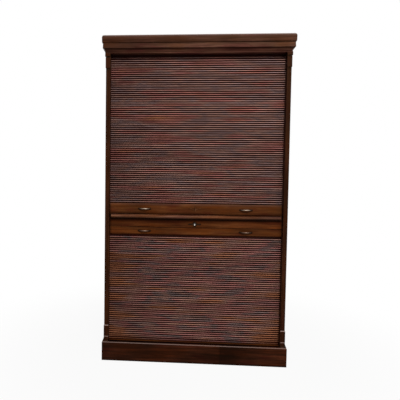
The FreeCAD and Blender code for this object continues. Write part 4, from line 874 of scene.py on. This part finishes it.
def winged_outline(tip, crown, waist=(13.0, 5.0), wing=(11.0, 6.0)):
    """A dome over the keyhole, a hollow neck and a round wing, mirrored both ways. Lengths in mm."""
    neck = (tip - wing[0], wing[1])
    dome = (waist[0] ** 2 + (crown - waist[1]) ** 2) / (2 * (crown - waist[1]))
    end = (wing[0] ** 2 + wing[1] ** 2) / (2 * wing[1])
    quarter = [arc((tip, 0), neck, end, 1), arc(neck, waist, neck[0] - waist[0], -1), arc(waist, (0, crown), dome, 1)]
    quarter = np.concatenate(quarter)
    half = np.concatenate([quarter, quarter[::-1] * (-1, 1)])
    return np.concatenate([half, half * (1, -1)])


print("points round a keyhole:", len(keyhole_outline()))

# %% Escutcheons
KEYHOLE_TO_EDGE = (
    (0, 0, 0), (0, 0, 1.0), (0, 0.2, 1.2), (0, 1.1, 1.2), (0, 1.4, 0.8), (1, -1.6, 0.8), (1, -1.2, 1.15),
    (1, -0.4, 1.15), (1, 0, 0.8), (1, 0, 0),
)
BEAD = ((1.0, 0), (0.96, 0.4), (0.7, 0.75), (0.3, 0.92))
BEADS = ((0.4, 1.2), (0.62, 1.35), (0.84, 1.6))


def make_escutcheon(node, metal, body):
    """A winged plate with a rim, a collar and three beads on each wing, in the place of its CAD node.

    Each bead is a share of the way to the tip, with a radius in mm.
    """
    low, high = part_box(node)
    tip, crown = (high[0] - low[0]) / 2 / MM, (high[2] - low[2]) / 2 / MM
    centre = ((low[0] + high[0]) / 2, high[1], (low[2] + high[2]) / 2)
    shells = [plate(centre, keyhole_outline(), winged_outline(tip, crown), KEYHOLE_TO_EDGE)]
    for share, size in BEADS:
        profile = [(radius * size, 0.7 + height * 0.55) for radius, height in BEAD]
        for way in (-1, 1):
            shells.append(turned(profile, (centre[0] + way * share * tip * MM, centre[1], centre[2]), steps=12))
    piece = build(f"{node}_plate", shells, metal, body, sharp=40)
    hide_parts(node)


make_escutcheon("upper_escutcheon", metals["brown_stained_brass"], "upper_curtain")
make_escutcheon("lower_escutcheon", metals["aged_brass"], "lower_curtain")

# %% Keyhole drop and its rivet
DROP_TOP, DROP_LOW, DROP_HOLE = 2.4, 3.4, 1.25
DROP_HEIGHTS = ((0, 0), (0, 1.2), (0.25, 1.35), (0.5, 1.35), (0.75, 1.15), (0.92, 0.8), (1, 0.4), (1, 0))
DROP_ROWS = [(share, 0, height) for share, height in DROP_HEIGHTS]

low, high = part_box("keyhole_cover")
rivet_low, rivet_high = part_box("keyhole_cover_rivet")
pivot = ((rivet_low[0] + rivet_high[0]) / 2, high[1], (rivet_low[2] + rivet_high[2]) / 2)
hang = (pivot[2] - low[2]) / MM - DROP_LOW
bowl = arc((0, -hang - DROP_LOW), (DROP_LOW, -hang), DROP_LOW, 1)
half = np.concatenate([bowl, arc((DROP_TOP, 0), (0, DROP_TOP), DROP_TOP, 1)])
hole = arc((DROP_HOLE, 0), (-DROP_HOLE, 0), DROP_HOLE, 1)
drop = plate(pivot, np.concatenate([hole, -hole]), np.concatenate([half, half * (-1, 1)]), DROP_ROWS)
aside, below = (drop[0][:, 0] - pivot[0]) / MM, (pivot[2] - drop[0][:, 2]) / MM
# a painted highlight down the middle of the drop's lower part
painted_glint = np.clip((below - 3) / 3, 0, 1) * np.exp(-((aside / 2.8) ** 2))
drop = build("keyhole_drop", [drop], metals["bright_nickel"], "cover", marks={"painted_glint": painted_glint}, sharp=50)
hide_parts("keyhole_cover")

reach = (rivet_high[1] - rivet_low[1]) / MM
head = ((1.2, 0), (1.2, reach - 0.9), (2.2, reach - 0.9), (2.2, reach - 0.6), (1.7, reach - 0.2), (0.8, reach))
rivet = turned(head, (pivot[0], rivet_high[1], pivot[2]))
rivet = build("keyhole_drop_rivet", [rivet], metals["bright_nickel"], "lower_curtain")
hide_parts("keyhole_cover_rivet")

# %% [markdown]
# ## Cornice
#
# The moulding has small rounds, a groove over its lip and faces that lean a degree or two, which catch
# the light differently. Its section is a ring of (projection, height), read from the wall outwards. A
# length of it is that ring at two stations, and a mitre needs no cut: where two lengths meet, a point
# that stands out by p also lies p beyond the corner.


# %% Cornice
def section():
    """The ring of the cornice in mm: lip, groove, cove, band, groove, fascia and a quarter round on top."""
    lip = [(0, 1892), (3.6, 1892), (4.4, 1892.8), (4.4, 1897.4), (3.6, 1898.4), (2.6, 1900)]
    cove = arc((3.4, 1902), (12.5, 1916.5), 18, -1, 10)
    band = [(12.5, 1916.5), (15.2, 1917.3), (16.8, 1918.4), (17.4, 1920), (16.2, 1947), (15.4, 1949.5)]
    fascia = [(19.6, 1950.4), (20.9, 1951.2), (21.4, 1952.6)]
    top = arc((22, 1982), (4, 2000), 18, 1, 10)
    return np.concatenate([lip, cove, band, fascia, top, [(4, 2000), (0, 2000)]]) * MM


def moulding(name, node, finish, starts, ends):
    """One length of cornice between two rings of points."""
    points = np.concatenate([starts, ends])
    count = len(starts)
    caps = np.stack([np.arange(count)[::-1], np.arange(count) + count])
    shell = (points, outwards(points, [grid_faces(2, count, wrap=True), caps]))
    piece = build(name, [shell], woods[finish], "cabinet")
    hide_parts(node)


side_low, side_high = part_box("cornice_right")
front_low, front_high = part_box("cornice_front")
out, z = section().T
wall_x, wall_y = side_high[0] - out.max(), front_low[1] + out.max()
corners = {way: np.stack([way * (wall_x + out), wall_y - out, z], axis=-1) for way in (-1, 1)}
moulding("cornice_front_moulding", "cornice_front", "stained_hardwood_cornice", corners[-1], corners[1])
for word, way in (("left", -1), ("right", 1)):
    rear = np.stack([way * (wall_x + out), np.full_like(out, side_high[1]), z], axis=-1)
    moulding(f"cornice_{word}_moulding", f"cornice_{word}", "stained_hardwood_return", corners[way], rear)

# %% [markdown]
# ## Nails and screws
#
# Round-headed nails hold the back boards to the middle shelf and the outer two boards to the sides.
# Each strike plate has two slotted screws. A screw head is two half discs with the slot between them,
# over a thinner round disc, and it stands a quarter of a millimetre proud.

# %% Nails in the back
NAIL = ((2.6, -0.2), (2.6, 0.3), (2.1, 0.8), (1.1, 1.1))
BOARDS_ACROSS = 8
low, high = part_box("back_boards")
shelf_low, shelf_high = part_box("middle_shelf")
width = (high[0] - low[0]) / BOARDS_ACROSS
random = np.random.default_rng(5)
board = np.repeat(np.arange(BOARDS_ACROSS), 2)
x = low[0] + (board + np.tile([0.2, 0.8], BOARDS_ACROSS)) * width
row = np.stack([x, np.full_like(x, (shelf_low[2] + shelf_high[2]) / 2)], axis=-1)
z = np.linspace(low[2] + 60 * MM, high[2] - 40 * MM, 9)
inset = 6 * MM
sides = [np.stack([np.full_like(z, edge), z], axis=-1) for edge in (low[0] + inset, high[0] - inset)]
spots = np.concatenate([row, *sides])
spots += random.normal(0, 1.0 * MM, spots.shape)
nails = [turned(NAIL, (x, high[1], z), way=1, steps=10) for x, z in spots]
nails = build("back_board_nails", nails, metals["nail_iron"], "cabinet")

# %% Screws in the strikes
SCREW_RADIUS, SCREW_SLOT = 2.4 * MM, 0.6 * MM
SCREW_HALF = ((1.0, -0.1), (1.0, 0.15), (0.9, 0.25))
SCREW_UNDER = ((1.0, -0.15), (1.0, 0.02))


def ring_stack(radius, start, stop, steps, rows):
    """Rows are (share, height in mm). Each is the arc from start to stop, drawn in to its middle by the share."""
    angle = np.linspace(start, stop, steps)
    rim = radius * np.stack([np.cos(angle), np.sin(angle)], axis=-1)
    middle = rim.mean(axis=0)
    return np.stack([np.insert(middle + (rim - middle) * share, 2, height * MM, axis=1) for share, height in rows])


def screw(centre, way, slot):
    """A slotted head that faces up (way 1) or down (-1). Each half disc is an arc from slot to slot."""
    span = math.asin(SCREW_SLOT / 2 / SCREW_RADIUS)
    halves = [(side + span, side + math.pi - span) for side in (0, math.pi)]
    shells = [ring_stack(SCREW_RADIUS, start, stop, 12, SCREW_HALF) for start, stop in halves]
    shells.append(ring_stack(0.98 * SCREW_RADIUS, 0, 1.9 * math.pi, 20, SCREW_UNDER))
    spin = np.array([[math.cos(slot), -math.sin(slot), 0], [math.sin(slot), math.cos(slot), 0], [0, 0, way]])
    return [skin(rings @ spin.T + np.array(centre)) for rings in shells]


low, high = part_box("strike_plates")
middle_y, inset = (low[1] + high[1]) / 2, 6 * MM
shells = []
for x, slot in ((low[0] + inset, 0.4), (high[0] - inset, 1.9)):
    shells += screw((x, middle_y, high[2]), 1, slot)
    shells += screw((x, middle_y, low[2]), -1, slot + 0.7)
screws = build("strike_plate_screws", shells, metals["lock_steel"], "cabinet")

# %% [markdown]
# ## Studio
#
# The cabinet stands on a plain pale floor under a large soft lamp, above and a little to the right, as
# in a shop with one big window. A weak lamp lights the right side, and the world fills the shadows. Rays
# that come straight from the camera, and those that a gloss or glass sends on, see plain white. The floor
# goes most of the way to white for them too, and all the way beyond two metres, so it has no edge but
# keeps the shadow.


# %% Floor and world
def sees_background(tree):
    """1 for camera, glossy and transmission rays, else 0."""
    share = 0.0
    for ray in ("Camera", "Glossy", "Transmission"):
        hit = add(tree, "LightPath", out=f"Is {ray} Ray")
        share = add(tree, "Math", [(0, share), (1, hit)], operation="MAXIMUM")
    return share


WHITE = linear(FULL)
pale_floor, tree = new_material("pale_floor")
plain = add(tree, "BsdfDiffuse", [("Color", linear("#DCDAD6"))])
white = add(tree, "Emission", [("Color", WHITE), ("Strength", 1.0)])
where = add(tree, "TexCoord", out="Object")
reach = add(tree, "VectorMath", [(0, where)], out="Value", operation="LENGTH")
melt = add(tree, "MapRange", zip(RANGE, (reach, 0.7, 2.0, 0.93, 1.0)), interpolation_type="SMOOTHSTEP")
part = add(tree, "Math", [(0, sees_background(tree)), (1, melt)], operation="MULTIPLY")
mixed = add(tree, "MixShader", [("Fac", part), (1, plain), (2, white)])
add(tree, "OutputMaterial", [("Surface", mixed)])

FLOOR_HALF = 12.0
corners = FLOOR_HALF * np.array([[-1, -1, 0], [1, -1, 0], [1, 1, 0], [-1, 1, 0]], float)
ground = bpy.data.meshes.new("floor")
ground.from_pydata(corners.tolist(), [], [(0, 1, 2, 3)])
ground.materials.append(pale_floor)
floor = bpy.data.objects.new("floor", ground)
bpy.context.scene.collection.objects.link(floor)

FILL = 0.16
world = bpy.data.worlds.new("studio")
bpy.context.scene.world = world
world.use_nodes = True
tree = world.node_tree
tree.nodes.clear()
level = add(tree, "MapRange", [("Value", sees_background(tree)), ("To Min", FILL), ("To Max", 1.0)])
add(tree, "OutputWorld", [("Surface", add(tree, "Background", [("Color", WHITE), ("Strength", level)]))])
print("floor:", 2 * FLOOR_HALF, "m across, fill light:", FILL)

# %% Lamps
from mathutils import Matrix, Vector

FRONT_MIDDLE = (0, -0.2, 1.0)


def soft_lamp(name, place, size, power):
    """A square area lamp that faces the middle of the front."""
    lamp = bpy.data.lights.new(name, "AREA")
    lamp.size, lamp.energy = size, power
    made = bpy.data.objects.new(name, lamp)
    made.location = place
    made.rotation_euler = (Vector(FRONT_MIDDLE) - Vector(place)).to_track_quat("-Z", "Y").to_euler()
    bpy.context.scene.collection.objects.link(made)
    print(f"{name}: {power} W from a square of {size} m")


soft_lamp("window", (0.8, -5.0, 3.9), 1.5, 222)
soft_lamp("fill", (2.4, -2.4, 1.4), 1.2, 14)

# %% [markdown]
# ## Camera
#
# The camera stands 2.3 m in front of the pilasters at chest height, a little left of the middle, and looks
# slightly down and to the left. Its axes are worked out from yaw, pitch and roll: forward is (-sin yaw cos
# pitch, cos yaw cos pitch, -sin pitch), right is level, and roll turns right and up about forward. The lens
# is shifted by a tenth of the frame, which brings the cabinet to the middle without a turn of the camera.

# %% Camera
EYE = Vector((-0.1, -2.5, 1.097))
yaw, pitch, roll = (math.radians(angle) for angle in (3.45, 2.27, 0.73))
forward = Vector((-math.sin(yaw) * math.cos(pitch), math.cos(yaw) * math.cos(pitch), -math.sin(pitch)))
level = Vector((math.cos(yaw), math.sin(yaw), 0))
upright = level.cross(forward)
right = level * math.cos(roll) + upright * math.sin(roll)
up = upright * math.cos(roll) - level * math.sin(roll)
lens = bpy.data.cameras.new("camera")
lens.lens, lens.sensor_width, lens.shift_x = 33.88, 36.0, 0.1096
camera = bpy.data.objects.new("camera", lens)
camera.matrix_world = Matrix.Translation(EYE) @ Matrix((right, up, -forward)).transposed().to_4x4()
bpy.context.scene.collection.objects.link(camera)
bpy.context.scene.camera = camera
bpy.context.scene.view_settings.view_transform = "Standard"
print("camera at", [round(value, 3) for value in EYE], "with a lens of", round(lens.lens, 2), "mm")
